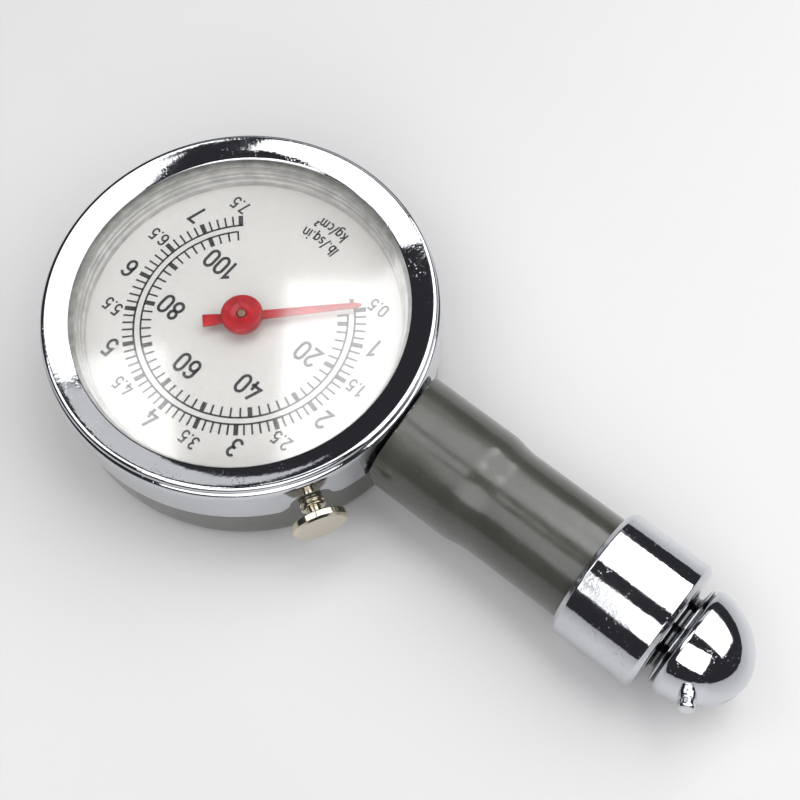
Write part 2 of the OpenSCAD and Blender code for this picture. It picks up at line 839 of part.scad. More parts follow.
module check_poppet() {
    color("gold") on_stem(check_end - check_poppet_l) rotate_extrude()
        polygon([[0, 0], [0.9, 0], [0.9, 0.9], [check_poppet_r, 0.9],
            [check_poppet_r, check_poppet_l - 0.3], [check_poppet_r - 0.3, check_poppet_l],
            [0, check_poppet_l]]);
}

module check_spring() {
    wire = 0.25;
    l = 9 - check_poppet_l + 0.9 - 0.04;
    color("silver") on_stem(check_end - 9 + 0.02)
        coil(1.5, wire, 6, l);
}

// ---- chuck ----

module chuck_sleeve() {
    r = sleeve_r;
    over = handle_d2 / 2 + run;
    step = sleeve_grip + 0.05;
    color("silver") on_stem(sleeve_x) rotate_extrude($fn = 128)
        polygon([[over, 0], [r - sleeve_chamfer, 0], [r, sleeve_chamfer],
            [r, sleeve_l - sleeve_chamfer], [r - sleeve_chamfer, sleeve_l],
            [chuck_shank_r + fix, sleeve_l], [chuck_shank_r + fix, step], [over, step]]);
}

// Head outline: shank, waist, thin ring, then a dome that is a little straighter than an ellipse
module chuck_head() {
    steps = 14;
    shoulder = 1.1;
    fullness = 2 / 1.85;
    x0 = chuck_start;
    dome_from = dome_x - x0;
    dome_h = tip_x - dome_x - shoulder;
    dome = [for (i = [0:steps]) let (a = 90 * i / steps)
        [dome_r * pow(cos(a), fullness), dome_from + shoulder + dome_h * pow(sin(a), fullness)]];
    outline = concat(
        [[0, 0], [chuck_shank_r, 0], [chuck_shank_r, sleeve_end - x0],
         [chuck_shank_r - 0.5, ring_x - x0 - 0.1], [ring_r - 0.2, ring_x - x0],
         [ring_r, ring_x - x0 + 0.1], [ring_r, ring_x - x0 + ring_t - 0.1],
         [ring_r - 0.35, ring_x - x0 + ring_t], [ring_r - 0.35, dome_from],
         [ring_r - 0.1, dome_from + 0.1], [dome_r - 0.25, dome_from + shoulder * 0.45]],
        dome);
    color("silver") difference() {
        union() {
            on_stem(x0) rotate_extrude() polygon(outline);
            on_mouth(2) cylinder(r = mouth_r + mouth_wall, h = mouth_face - 2);
        }
        on_mouth(mouth_floor + 0.1) cylinder(r = mouth_r, h = 12);
        on_mouth(mouth_floor) cylinder(r = pocket_r, h = pocket_l);
        on_stem(x0 - 1) cylinder(r = 1.2, h = mouth_from[0] - x0);
        on_bleed(bleed_root) cylinder(r = bleed_d / 2 + fix, h = 12);
    }
}

module pin_carrier() {
    color("gold") on_mouth(mouth_floor) {
        difference() {
            cylinder(r = pocket_r - fix, h = carrier_t);
            for (a = [30, 150, 270]) rotate([0, 0, a]) translate([2.1, 0, -1])
                cylinder(r = 0.6, h = 3, $fn = 32);
        }
        cylinder(r = depressor_r, h = depressor_l, $fn = 48);
    }
}

module mouth_seal() {
    color("black") on_mouth(mouth_floor + carrier_t) rotate_extrude()
        polygon([[2.2, 0], [pocket_r - fix, 0], [pocket_r - fix, mouth_seal_t],
            [3.1, mouth_seal_t], [2.2, mouth_seal_t - 0.6]]);
}

module bleed_pin() {
    r = bleed_d / 2;
    l = bleed_tip - bleed_root;
    color("silver") on_bleed(bleed_root) rotate_extrude($fn = 48)
        polygon(concat([[0, 0], [r, 0]], arc([r - 0.9, l - 0.9], 0.9, 0, 90, 6), [[0, l]]));
}

case_cup();
bezel_ring();
lens();
lens_gasket();
dial_spacer();
dial_plate();
stop_pin();
pointer();
pointer_hub();
pointer_arbor();
pinion();
spring_collet();
hairspring();
hairspring_stud();
base_plate();
top_plate();
plate_pillars();
plate_screws();
sector_gear();
sector_arbor();
link();
link_pivot();
link_screw();
bourdon_tube();
tube_tip();
socket_block();
socket_screws();
neck_boss();
neck_washer();
release_button();
button_bush();
button_clip();
button_spring();
release_poppet();
release_seal();
handle_tube();
air_tube();
check_body();
check_oring();
check_poppet();
check_spring();
chuck_sleeve();
chuck_head();
pin_carrier();
mouth_seal();
bleed_pin();
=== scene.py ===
"""Makes the visible pieces, finishes and stage of a hand-held dial tyre pressure gauge.

The gauge lies on its back: +Z comes out of the dial, +X runs along the handle to the chuck.
Every length is in metres.
"""
import math

import bpy
import numpy as np
from bpy.props import FloatProperty, FloatVectorProperty, PointerProperty
from mathutils import Matrix, Vector


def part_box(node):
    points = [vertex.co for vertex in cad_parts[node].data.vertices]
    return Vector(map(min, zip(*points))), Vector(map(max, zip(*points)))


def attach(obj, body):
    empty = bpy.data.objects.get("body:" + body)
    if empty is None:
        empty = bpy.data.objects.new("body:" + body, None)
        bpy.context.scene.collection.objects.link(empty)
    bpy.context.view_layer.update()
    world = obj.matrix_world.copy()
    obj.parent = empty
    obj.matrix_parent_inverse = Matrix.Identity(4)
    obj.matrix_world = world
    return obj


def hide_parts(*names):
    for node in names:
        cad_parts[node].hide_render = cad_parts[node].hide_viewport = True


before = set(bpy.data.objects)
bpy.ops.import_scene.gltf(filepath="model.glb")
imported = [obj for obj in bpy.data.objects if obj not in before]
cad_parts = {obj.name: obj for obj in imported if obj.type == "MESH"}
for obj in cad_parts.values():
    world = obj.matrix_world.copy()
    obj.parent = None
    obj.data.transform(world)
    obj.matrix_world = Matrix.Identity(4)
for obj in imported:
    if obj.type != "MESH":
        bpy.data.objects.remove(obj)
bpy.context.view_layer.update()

bl_info = {
    "name": "Dial tyre pressure gauge",
    "version": (1, 0, 0),
    "blender": (4, 5, 0),
    "location": "View3D > Sidebar > Gauge",
    "description": "Builds a hand-held dial tyre pressure gauge piece by piece",
    "category": "Add Mesh",
}

MM = 0.001
FULL = 2 * math.pi
POUNDS = 14.223  # pounds per square inch in one kilogram per square centimetre
STROKE = 0.145  # width of a number's stroke as a share of its height
UNIT_STROKE = 0.14  # the same for the unit names


# ---- places taken from the frame ----


def box(node):
    """Lowest and highest corner of a node as two arrays."""
    low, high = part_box(node)
    return np.array(low), np.array(high)


def axes_towards(direction):
    """Turn whose third column is direction, so a shape made along +Z runs along it."""
    along = Vector(direction).normalized()
    return np.array(along.to_track_quat("Z", "Y").to_matrix(), float)


CUP_HIGH = box("case_cup")[1]
BEZEL_LOW, BEZEL_HIGH = box("bezel_ring")
LENS_LOW, LENS_HIGH = box("lens")
DIAL_LOW, DIAL_HIGH = box("dial_plate")
SPACER_LOW, SPACER_HIGH = box("dial_spacer")
HANDLE_LOW, HANDLE_HIGH = box("handle_tube")
BOSS_LOW, BOSS_HIGH = box("neck_boss")
WASHER_HIGH = box("neck_washer")[1]
SLEEVE_LOW, SLEEVE_HIGH = box("chuck_sleeve")
HEAD_LOW, HEAD_HIGH = box("chuck_head")
POINTER_LOW, POINTER_HIGH = box("pointer")
HUB_LOW, HUB_HIGH = box("pointer_hub")
ARBOR_LOW, ARBOR_HIGH = box("pointer_arbor")
PIN_LOW, PIN_HIGH = box("stop_pin")
CLIP_LOW, CLIP_HIGH = box("button_clip")

STEM_Y = (HANDLE_LOW[1] + HANDLE_HIGH[1]) / 2
STEM_Z = (HANDLE_LOW[2] + HANDLE_HIGH[2]) / 2
CUP_R = CUP_HIGH[1]
SKIRT_R = BEZEL_HIGH[1]
SKIRT_LOW = BEZEL_LOW[2]
CASE_TOP = BEZEL_HIGH[2]
LENS_TOP = LENS_HIGH[2]
DIAL_TOP = DIAL_HIGH[2]
HUB_R = HUB_HIGH[0]
SLEEVE_R = (SLEEVE_HIGH[1] - SLEEVE_LOW[1]) / 2
BUTTON_Z = (CLIP_LOW[2] + CLIP_HIGH[2]) / 2
BUTTON_TURN = math.atan2(CLIP_LOW[1] + CLIP_HIGH[1], CLIP_LOW[0] + CLIP_HIGH[0])

STEM = (axes_towards((1, 0, 0)), np.array((0, STEM_Y, STEM_Z)))
UPRIGHT = (np.eye(3), np.zeros(3))
BUTTON = (
    axes_towards((math.cos(BUTTON_TURN), math.sin(BUTTON_TURN), 0)),
    np.array((0, 0, BUTTON_Z)),
)


# ---- sizes and colours that a user would change ----


def length(name, description, default):
    """A length property, in metres."""
    return FloatProperty(
        name=name, description=description, default=default, min=0, unit="LENGTH", precision=5
    )


def turn(name, description, degrees):
    """An angle property, given in degrees."""
    return FloatProperty(
        name=name, description=description, default=math.radians(degrees), subtype="ANGLE"
    )


def colour(name, description, default):
    """A colour property."""
    return FloatVectorProperty(
        name=name, description=description, default=default, subtype="COLOR", min=0, max=1
    )


class GaugeShape(bpy.types.PropertyGroup):
    """Sizes of the visible shapes that the frame's boxes don't give."""

    corner: length("Back edge", "Radius of the rounded edge round the case back", 3.0 * MM)
    skirt: length("Skirt wall", "Wall of the bezel's skirt", 0.45 * MM)
    bead: length("Bead", "Radius of the bezel's rolled bead", 0.62 * MM)
    lip: length("Lip opening", "Radius of the opening inside the bezel's lip", 23.7 * MM)
    lip_turn: turn("Lip slope", "Slope of the lip down to the lens", 17)
    handle_arch: length("Handle arch", "Radius of the skirt's arch over the boss", 7.1 * MM)
    button_arch: length("Button arch", "Radius of the skirt's arch over the bush", 3.0 * MM)
    arch_flare: length("Arch flare", "Widening at the foot of each arch", 1.3 * MM)
    window: length("Window", "Radius of the window over the dial", 22.3 * MM)
    handle_thin: length("Thin end", "Radius of the handle's thin end", 7.9 * MM)
    thick_length: length("Thick length", "Length of the handle's thick end", 12.4 * MM)
    taper_length: length("Taper", "Length of the handle's taper", 2.7 * MM)
    dome: length("Dome", "Largest radius of the domed head", 7.9 * MM)
    mouth: length("Valve mouth", "Bore radius of the valve mouth", 4.15 * MM)
    mouth_tilt: turn("Mouth tilt", "Angle of the mouth below the handle's axis", 55)
    button: length("Button", "Radius of the button's head", 3.95 * MM)
    shaft: length("Shaft", "Radius of the button's shaft", 0.95 * MM)
    bush: length("Bush", "Radius of the button's bush", 1.75 * MM)
    bleed: length("Bleed pin", "Radius of the bleed pin", 1.15 * MM)


class GaugeDial(bpy.types.PropertyGroup):
    """Places and sizes of what is printed on the dial."""

    start: turn("Start", "Direction of the first graduation", 44.8)
    sweep: turn("Sweep", "Turn from the first graduation to the last", 271.5)
    outer_ring: length("Outer ring", "Radius of the outer scale's line", 15.48 * MM)
    outer_tick: length("Outer ticks", "Length of the outer scale's ticks", 1.75 * MM)
    inner_ring: length("Inner ring", "Radius of the inner scale's line", 14.75 * MM)
    inner_tick: length("Inner ticks", "Length of the inner scale's ticks", 1.6 * MM)
    line: length("Line", "Width of the rings and thin ticks", 0.27 * MM)
    thick: length("Thick tick", "Width of the thick ticks", 0.66 * MM)
    number_r: length("Number radius", "Radius at which the outer numbers stand", 19.0 * MM)
    large: length("Large number", "Height of the whole outer numbers", 2.9 * MM)
    small: length("Small number", "Height of the half outer numbers", 2.0 * MM)
    inner_r: length("Inner number radius", "Radius of the inner numbers", 10.45 * MM)
    inner_size: length("Inner number", "Height of the inner numbers", 3.1 * MM)
    unit_size: length("Unit", "Height of the unit names", 1.75 * MM)


class GaugeFinish(bpy.types.PropertyGroup):
    """Colours of the finishes."""

    paint: colour("Paint", "Olive-grey enamel of case and handle", (0.055, 0.057, 0.047))
    chrome: colour("Chrome", "Chrome plating", (0.64, 0.65, 0.68))
    nickel: colour("Nickel", "Nickel plating of button and bush", (0.66, 0.61, 0.50))
    dial: colour("Dial", "Silver-white dial", (0.655, 0.645, 0.625))
    ink: colour("Ink", "Printed marks", (0.012, 0.012, 0.014))
    red: colour("Pointer", "Red lacquer of the pointer", (0.46, 0.004, 0.011))
    floor: colour("Floor", "Floor of the stage", (0.645, 0.645, 0.65))


# ---- surfaces ----


def rounded(corners, radii, steps=5):
    """Outline through corners, each replaced by a curve that leaves its edges smoothly.

    corners is (n, 2) and radii (n,): a corner's curve is the quadratic
    (1-s)^2 a + 2s(1-s) corner + s^2 b, where a and b lie radius away along both edges, at most
    0.45 of the edge. A point a little outside a and b keeps the flats between curves flat.
    The first and last corner of an open outline have radius 0.
    """
    corners = np.asarray(corners, float)
    radii = np.asarray(radii, float)[:, None]
    before = np.roll(corners, 1, 0) - corners
    after = np.roll(corners, -1, 0) - corners
    back = np.linalg.norm(before, axis=1, keepdims=True)
    on = np.linalg.norm(after, axis=1, keepdims=True)
    trim = np.minimum(radii, 0.45 * np.minimum(back, on))
    a = corners + before / back * trim
    b = corners + after / on * trim
    s = np.linspace(0, 1, steps)[None, :, None]
    curve = (1 - s) ** 2 * a[:, None] + 2 * s * (1 - s) * corners[:, None] + s**2 * b[:, None]
    lead = (corners + before / back * np.minimum(1.3 * trim, 0.49 * back))[:, None]
    tail = (corners + after / on * np.minimum(1.3 * trim, 0.49 * on))[:, None]
    points = np.concatenate([lead, curve, tail], 1).reshape(-1, 2)
    keep = np.concatenate([[True], np.linalg.norm(np.diff(points, axis=0), axis=1) > 1e-7])
    return points[keep]


def cut_long(outline, most):
    """The same open or closed outline with its long edges cut into pieces of at most most."""
    loop = np.concatenate([outline, outline[:1]])
    step = np.linalg.norm(np.diff(loop, axis=0), axis=1)
    along = np.concatenate([[0], np.cumsum(step)])
    count = np.maximum(np.ceil(step / most).astype(int), 1)
    share = np.concatenate([np.arange(n) / n for n in count])
    at = np.repeat(along[:-1], count) + share * np.repeat(step, count)
    return np.stack([np.interp(at, along, loop[:, k]) for k in (0, 1)], -1)


def grid_faces(rows, columns, wrap_rows, wrap_columns):
    """Quads between neighbouring rows and columns of a grid of points."""
    i = np.arange(rows if wrap_rows else rows - 1)[:, None]
    j = np.arange(columns if wrap_columns else columns - 1)[None, :]
    below, beside = (i + 1) % rows, (j + 1) % columns
    quads = np.stack(
        [i * columns + j, below * columns + j, below * columns + beside, i * columns + beside], -1
    )
    return quads.reshape(-1, 4)


def facing_out(points, faces):
    """The same faces turned so that the volume they hold is positive."""
    total = 0.0
    for group in faces:
        first = points[group[:, 0]]
        for k in range(1, group.shape[1] - 1):
            second, third = points[group[:, k]], points[group[:, k + 1]]
            total += np.einsum("ij,ij->", first, np.cross(second, third))
    return faces if total >= 0 else [group[:, ::-1] for group in faces]


def new_piece(name, points, faces, smooth=True):
    """A mesh object at the origin with its place in its points."""
    mesh = bpy.data.meshes.new(name)
    corners = [row for group in faces for row in group.tolist()]
    mesh.from_pydata(np.asarray(points).tolist(), [], corners)
    mesh.polygons.foreach_set("use_smooth", np.full(len(mesh.polygons), smooth))
    mesh.update()
    piece = bpy.data.objects.new(name, mesh)
    bpy.context.scene.collection.objects.link(piece)
    return piece


def in_place(points, place):
    """Points carried from a shape's own axes to the model's frame."""
    axes, origin = place
    return points @ axes.T + origin


def lathe_points(outline, turns, place):
    """Grid of the outline turned about its axis: (r cos t, r sin t, h) for every angle t."""
    t = np.linspace(0, FULL, turns, endpoint=False)[None, :]
    r, h = outline[:, :1], outline[:, 1:]
    points = np.stack([r * np.cos(t), r * np.sin(t), h + 0 * t], -1)
    return in_place(points, place)


def lathe(name, outline, turns=192, place=UPRIGHT, ring=False):
    """Surface of revolution of an outline of (r, h) points.

    A ring's outline is a closed loop. Otherwise both ends lie on the axis, and each becomes
    one shared point joined to its neighbours by a fan.
    """
    outline = np.asarray(outline, float)
    if ring:
        points = lathe_points(outline, turns, place).reshape(-1, 3)
        faces = [grid_faces(len(outline), turns, True, True)]
    else:
        rows = outline[1:-1]
        points = lathe_points(rows, turns, place).reshape(-1, 3)
        ends = in_place(np.array([[0, 0, outline[0, 1]], [0, 0, outline[-1, 1]]]), place)
        first, last = len(points), len(points) + 1
        j = np.arange(turns)
        beside = (j + 1) % turns
        end_row = (len(rows) - 1) * turns
        fans = [
            np.stack([np.full(turns, first), j, beside], -1),
            np.stack([np.full(turns, last), end_row + beside, end_row + j], -1),
        ]
        points = np.concatenate([points, ends])
        faces = [grid_faces(len(rows), turns, False, True), *fans]
    return new_piece(name, points, facing_out(points, faces))


def add_wear(piece, values):
    """Stores a value from 0 to 1 for each point for the finishes to read: paint wear on painted
    pieces, painted shade on the chuck head.
    """
    layer = piece.data.attributes.new("wear_and_shade", "FLOAT", "POINT")
    layer.data.foreach_set("value", np.asarray(values, np.float32))


def wear_near(piece, across, along, ring, reach, most):
    """Wears the points near a ring of a turned piece: most on it, none at reach from it.

    across and along are each point's distance from the axis and along it, and ring is the
    worn ring's own pair of the two.
    """
    near = np.hypot(across - ring[0], along - ring[1])
    add_wear(piece, most * np.clip(1 - near / reach, 0, 1))


def from_stem(points):
    """Distance of points from the handle's axis."""
    return np.hypot(points[:, 1] - STEM_Y, points[:, 2] - STEM_Z)


def follow_round(piece, end, reach, away):
    """Bends the end of a piece on the handle's axis to a circle of radius end about Z.

    A point moves along X by w (sqrt(end^2 - y^2) - end), where w falls from 1 at the end to 0
    at reach from it, on the side that away (1 or -1) points to.
    """
    points = points_of(piece)
    w = np.clip(1 - (points[:, 0] - end) * away / reach, 0, 1)
    points[:, 0] += w * (np.sqrt(end**2 - points[:, 1] ** 2) - end)
    piece.data.vertices.foreach_set("co", points.astype(np.float32).ravel())
    piece.data.update()


def points_of(piece):
    """A piece's points as an (n, 3) array."""
    flat = np.empty(len(piece.data.vertices) * 3, np.float32)
    piece.data.vertices.foreach_get("co", flat)
    return flat.reshape(-1, 3).astype(float)


def set_down(piece, body, slot, material, *nodes):
    """Gives a finished piece its body and material, and hides the nodes that it stands for."""
    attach(piece, body)
    if nodes:
        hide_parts(*nodes)
    piece.data.materials.clear()
    piece.data.materials.append(material)
    return piece


def coat(node, material):
    """Gives a node that keeps its own mesh a better material."""
    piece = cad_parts[node]
    for holder in piece.material_slots:
        holder.material = material


# ---- finishes ----


def start_finish(name):
    """A new material: its tree, its shader and the place of each point."""
    material = bpy.data.materials.new(name)
    material.use_nodes = True
    tree = material.node_tree
    place = tree.nodes.new("ShaderNodeTexCoord").outputs["Object"]
    return material, tree, tree.nodes["Principled BSDF"], place


def grain(tree, place, size, detail=2.0, stretch=(1, 1, 1), rough=0.5):
    """Noise whose lumps are about size across, longer along an axis with a small stretch."""
    scale = tree.nodes.new("ShaderNodeMapping")
    scale.inputs["Scale"].default_value = tuple(s / size for s in stretch)
    noise = tree.nodes.new("ShaderNodeTexNoise")
    noise.inputs["Scale"].default_value = 1
    noise.inputs["Detail"].default_value = detail
    noise.inputs["Roughness"].default_value = rough
    tree.links.new(place, scale.inputs["Vector"])
    tree.links.new(scale.outputs["Vector"], noise.inputs["Vector"])
    return noise.outputs[0]


def pits(tree, place, size):
    """Distance to the nearest of scattered points, about size apart."""
    cells = tree.nodes.new("ShaderNodeTexVoronoi")
    cells.inputs["Scale"].default_value = 1 / size
    tree.links.new(place, cells.inputs["Vector"])
    return cells.outputs["Distance"]


def spread(tree, value, start, end, low, high):
    """Value from start to end turned into low to high, held at both ends."""
    node = tree.nodes.new("ShaderNodeMapRange")
    for socket, number in (
        ("From Min", start), ("From Max", end), ("To Min", low), ("To Max", high)
    ):
        node.inputs[socket].default_value = number
    tree.links.new(value, node.inputs["Value"])
    return node.outputs["Result"]


def combine(tree, kind, a, b):
    """Two values, or a value and a number, put through a Math node."""
    node = tree.nodes.new("ShaderNodeMath")
    node.operation = kind
    for socket, value in zip(node.inputs, (a, b)):
        if isinstance(value, (int, float)):
            socket.default_value = value
        else:
            tree.links.new(value, socket)
    return node.outputs[0]


def tint(tree, factor, a, b):
    """Colour from a to b by factor."""
    node = tree.nodes.new("ShaderNodeMix")
    node.data_type = "RGBA"
    tree.links.new(factor, node.inputs[0])
    for socket, value in ((node.inputs[6], a), (node.inputs[7], b)):
        if isinstance(value, bpy.types.NodeSocket):
            tree.links.new(value, socket)
        else:
            socket.default_value = (*value, 1)
    return node.outputs[2]


def relief(tree, height, depth, under=None):
    """Bump of a height from 0 to 1, depth metres deep, over another bump."""
    node = tree.nodes.new("ShaderNodeBump")
    node.inputs["Strength"].default_value = 1
    node.inputs["Distance"].default_value = depth
    tree.links.new(height, node.inputs["Height"])
    if under is not None:
        tree.links.new(under, node.inputs["Normal"])
    return node.outputs["Normal"]


def lighter(base, factor):
    """A colour times a factor, kept within 0 to 1."""
    return tuple(min(1.0, channel * factor) for channel in base)


def paint_finish(base):
    """Glossy enamel: soft unevenness, orange peel, dust specks, and metal where it is worn."""
    material, tree, shader, place = start_finish("olive_enamel")
    cloud = grain(tree, place, 9 * MM, 3)
    speck = spread(tree, grain(tree, place, 0.35 * MM, 2), 0.66, 0.74, 0, 1)
    body = tint(tree, spread(tree, cloud, 0.3, 0.7, 0, 1), lighter(base, 0.9), lighter(base, 1.1))
    body = tint(tree, speck, body, lighter(base, 1.5))
    wear_and_shade = tree.nodes.new("ShaderNodeAttribute")
    wear_and_shade.attribute_name = "wear_and_shade"
    chips = grain(tree, place, 1.1 * MM, 4)
    chipped = combine(tree, "ADD", wear_and_shade.outputs["Fac"], spread(tree, chips, 0.3, 0.7, -0.45, 0.25))
    worn = spread(tree, chipped, 0.52, 0.62, 0, 1)
    tree.links.new(tint(tree, worn, body, (0.55, 0.55, 0.53)), shader.inputs["Base Color"])
    tree.links.new(worn, shader.inputs["Metallic"])
    smudge = spread(tree, grain(tree, place, 3.5 * MM, 4), 0.35, 0.7, 0.17, 0.27)
    tree.links.new(smudge, shader.inputs["Roughness"])
    peel = relief(tree, grain(tree, place, 0.9 * MM, 2), 0.012 * MM)
    wave = relief(tree, grain(tree, place, 6 * MM, 1), 0.10 * MM, peel)
    tree.links.new(wave, shader.inputs["Normal"])
    shader.inputs["Specular IOR Level"].default_value = 0.65
    shader.inputs["Coat Weight"].default_value = 0.35
    shader.inputs["Coat Roughness"].default_value = 0.16
    return material


def plated_finish(name, base, pit_depth, low=0.035, high=0.11, stain=0.0):
    """Plating: bright metal with hazy patches, stains, hair scratches and scattered pits; where a
    piece marks painted shade, its colour is darkened.
    """
    material, tree, shader, place = start_finish(name)
    haze = grain(tree, place, 7 * MM, 4)
    worn = tint(tree, spread(tree, haze, 0.35, 0.75, 0, 1), base, lighter(base, 0.93))
    # painted shade: the mask darkens the colour towards 0.12 of the base
    grime = tree.nodes.new("ShaderNodeAttribute")
    grime.attribute_name = "wear_and_shade"
    shade_amount = spread(tree, grime.outputs["Fac"], 0.1, 0.9, 0, 1)
    stained = spread(tree, grain(tree, place, 2.2 * MM, 5, rough=0.65), 0.55, 0.75, 0, stain)
    worn = tint(tree, stained, worn, lighter(base, 0.42))
    tree.links.new(tint(tree, shade_amount, worn, lighter(base, 0.12)), shader.inputs["Base Color"])
    shader.inputs["Metallic"].default_value = 1
    hairs = spread(tree, grain(tree, place, 0.6 * MM, 3, (1, 0.06, 0.3)), 0.62, 0.7, 0, 0.05)
    rough = combine(tree, "ADD", spread(tree, haze, 0.4, 0.75, low, high), hairs)
    rough = combine(tree, "ADD", rough, spread(tree, stained, 0, 1, 0, 0.12))
    tree.links.new(rough, shader.inputs["Roughness"])
    patch = spread(tree, grain(tree, place, 4 * MM, 3), 0.5, 0.62, 0, 1)
    holes = spread(tree, pits(tree, place, 0.42 * MM), 0.1, 0.32, 0, 1)
    level = combine(tree, "ADD", holes, combine(tree, "SUBTRACT", 1.0, patch))
    dimple = relief(tree, spread(tree, level, 0, 1, 0, 1), pit_depth)
    skin = relief(tree, grain(tree, place, 0.55 * MM, 3), 0.008 * MM, dimple)
    ripple = relief(tree, grain(tree, place, 5 * MM, 2), 0.03 * MM, skin)
    tree.links.new(ripple, shader.inputs["Normal"])
    return material


def turned_finish(name, base, stretch, rough=(0.22, 0.4)):
    """Machined metal: fine tool lines along the axes with a small stretch, and tarnish."""
    material, tree, shader, place = start_finish(name)
    lines = grain(tree, place, 0.16 * MM, 3, stretch)
    tarnish = spread(tree, grain(tree, place, 3 * MM, 4), 0.35, 0.7, 0, 1)
    body = tint(tree, tarnish, base, lighter(base, 0.62))
    body = tint(tree, spread(tree, lines, 0.4, 0.6, 0, 0.35), body, lighter(base, 1.15))
    tree.links.new(body, shader.inputs["Base Color"])
    shader.inputs["Metallic"].default_value = 1
    tree.links.new(spread(tree, lines, 0.35, 0.65, *rough), shader.inputs["Roughness"])
    tree.links.new(relief(tree, lines, 0.006 * MM), shader.inputs["Normal"])
    return material


def dial_finish(base):
    """Silver-white lacquer: fine bright and dark specks with a slight metal sheen."""
    material, tree, shader, place = start_finish("dial_silver")
    fine = grain(tree, place, 0.16 * MM, 2)
    body = spread(tree, fine, 0.35, 0.65, 0, 1)
    body = tint(tree, body, lighter(base, 0.92), lighter(base, 1.07))
    dust = spread(tree, grain(tree, place, 0.5 * MM, 3, rough=0.7), 0.72, 0.78, 0, 0.45)
    body = tint(tree, dust, body, lighter(base, 0.35))
    cloud = spread(tree, grain(tree, place, 12 * MM, 2), 0.3, 0.7, 0, 0.25)
    tree.links.new(tint(tree, cloud, body, lighter(base, 0.9)), shader.inputs["Base Color"])
    tree.links.new(spread(tree, fine, 0.3, 0.7, 0.42, 0.6), shader.inputs["Roughness"])
    shader.inputs["Metallic"].default_value = 0.15
    tree.links.new(relief(tree, fine, 0.01 * MM), shader.inputs["Normal"])
    return material


def lacquer_finish(name, base, rough=(0.12, 0.25)):
    """Thick glossy lacquer with pooled, slightly darker patches and fine dust."""
    material, tree, shader, place = start_finish(name)
    pool = grain(tree, place, 1.8 * MM, 3)
    body = spread(tree, pool, 0.35, 0.68, 0, 1)
    body = tint(tree, body, lighter(base, 0.72), lighter(base, 1.15))
    tree.links.new(body, shader.inputs["Base Color"])
    tree.links.new(spread(tree, pool, 0.3, 0.7, *rough), shader.inputs["Roughness"])
    skin = relief(tree, grain(tree, place, 0.9 * MM, 3), 0.05 * MM)
    tree.links.new(skin, shader.inputs["Normal"])
    return material


def ink_finish(base):
    """Screen ink: matt, a little uneven in cover."""
    material, tree, shader, place = start_finish("dial_ink")
    cover = spread(tree, grain(tree, place, 0.3 * MM, 3), 0.4, 0.75, 0, 1)
    tree.links.new(tint(tree, cover, base, lighter(base, 3.5)), shader.inputs["Base Color"])
    tree.links.new(spread(tree, cover, 0, 1, 0.45, 0.6), shader.inputs["Roughness"])
    return material


def dull_finish(name, base, lump, rough=(0.5, 0.75), depth=0.02):
    """Moulded rubber or plastic: fine mottling and a soft grain."""
    material, tree, shader, place = start_finish(name)
    mottle = grain(tree, place, lump, 4)
    body = spread(tree, mottle, 0.35, 0.7, 0, 1)
    body = tint(tree, body, lighter(base, 0.8), lighter(base, 1.25))
    tree.links.new(body, shader.inputs["Base Color"])
    tree.links.new(spread(tree, mottle, 0.3, 0.7, *rough), shader.inputs["Roughness"])
    tree.links.new(relief(tree, mottle, depth * MM), shader.inputs["Normal"])
    return material


def lens_finish():
    """Clear plastic lens with faint smears and a slightly soft mirror skin.

    Lamps shine through it to the dial, so it casts no shadow.
    """
    material, tree, shader, place = start_finish("clear_lens")
    shader.inputs["Base Color"].default_value = (0.995, 0.995, 0.99, 1)
    shader.inputs["Transmission Weight"].default_value = 1
    shader.inputs["IOR"].default_value = 1.15
    shader.inputs["Coat Weight"].default_value = 1
    shader.inputs["Coat IOR"].default_value = 1.9
    shader.inputs["Coat Roughness"].default_value = 0.07
    smear = spread(tree, grain(tree, place, 5 * MM, 4, (1, 0.4, 1)), 0.45, 0.8, 0.012, 0.05)
    tree.links.new(smear, shader.inputs["Roughness"])
    path = tree.nodes.new("ShaderNodeLightPath")
    clear = tree.nodes.new("ShaderNodeBsdfTransparent")
    join = tree.nodes.new("ShaderNodeMixShader")
    passing = combine(
        tree, "MAXIMUM", path.outputs["Is Shadow Ray"], path.outputs["Is Diffuse Ray"]
    )
    tree.links.new(passing, join.inputs[0])
    tree.links.new(shader.outputs[0], join.inputs[1])
    tree.links.new(clear.outputs[0], join.inputs[2])
    tree.links.new(join.outputs[0], tree.nodes["Material Output"].inputs["Surface"])
    return material


def floor_finish(base):
    """Smooth pale table with a faint gloss."""
    material, tree, shader, place = start_finish("pale_table")
    cloud = spread(tree, grain(tree, place, 60 * MM, 3), 0.3, 0.7, 0, 1)
    tree.links.new(tint(tree, cloud, lighter(base, 0.985), base), shader.inputs["Base Color"])
    tree.links.new(spread(tree, cloud, 0, 1, 0.3, 0.36), shader.inputs["Roughness"])
    return material


FINISHES = {}


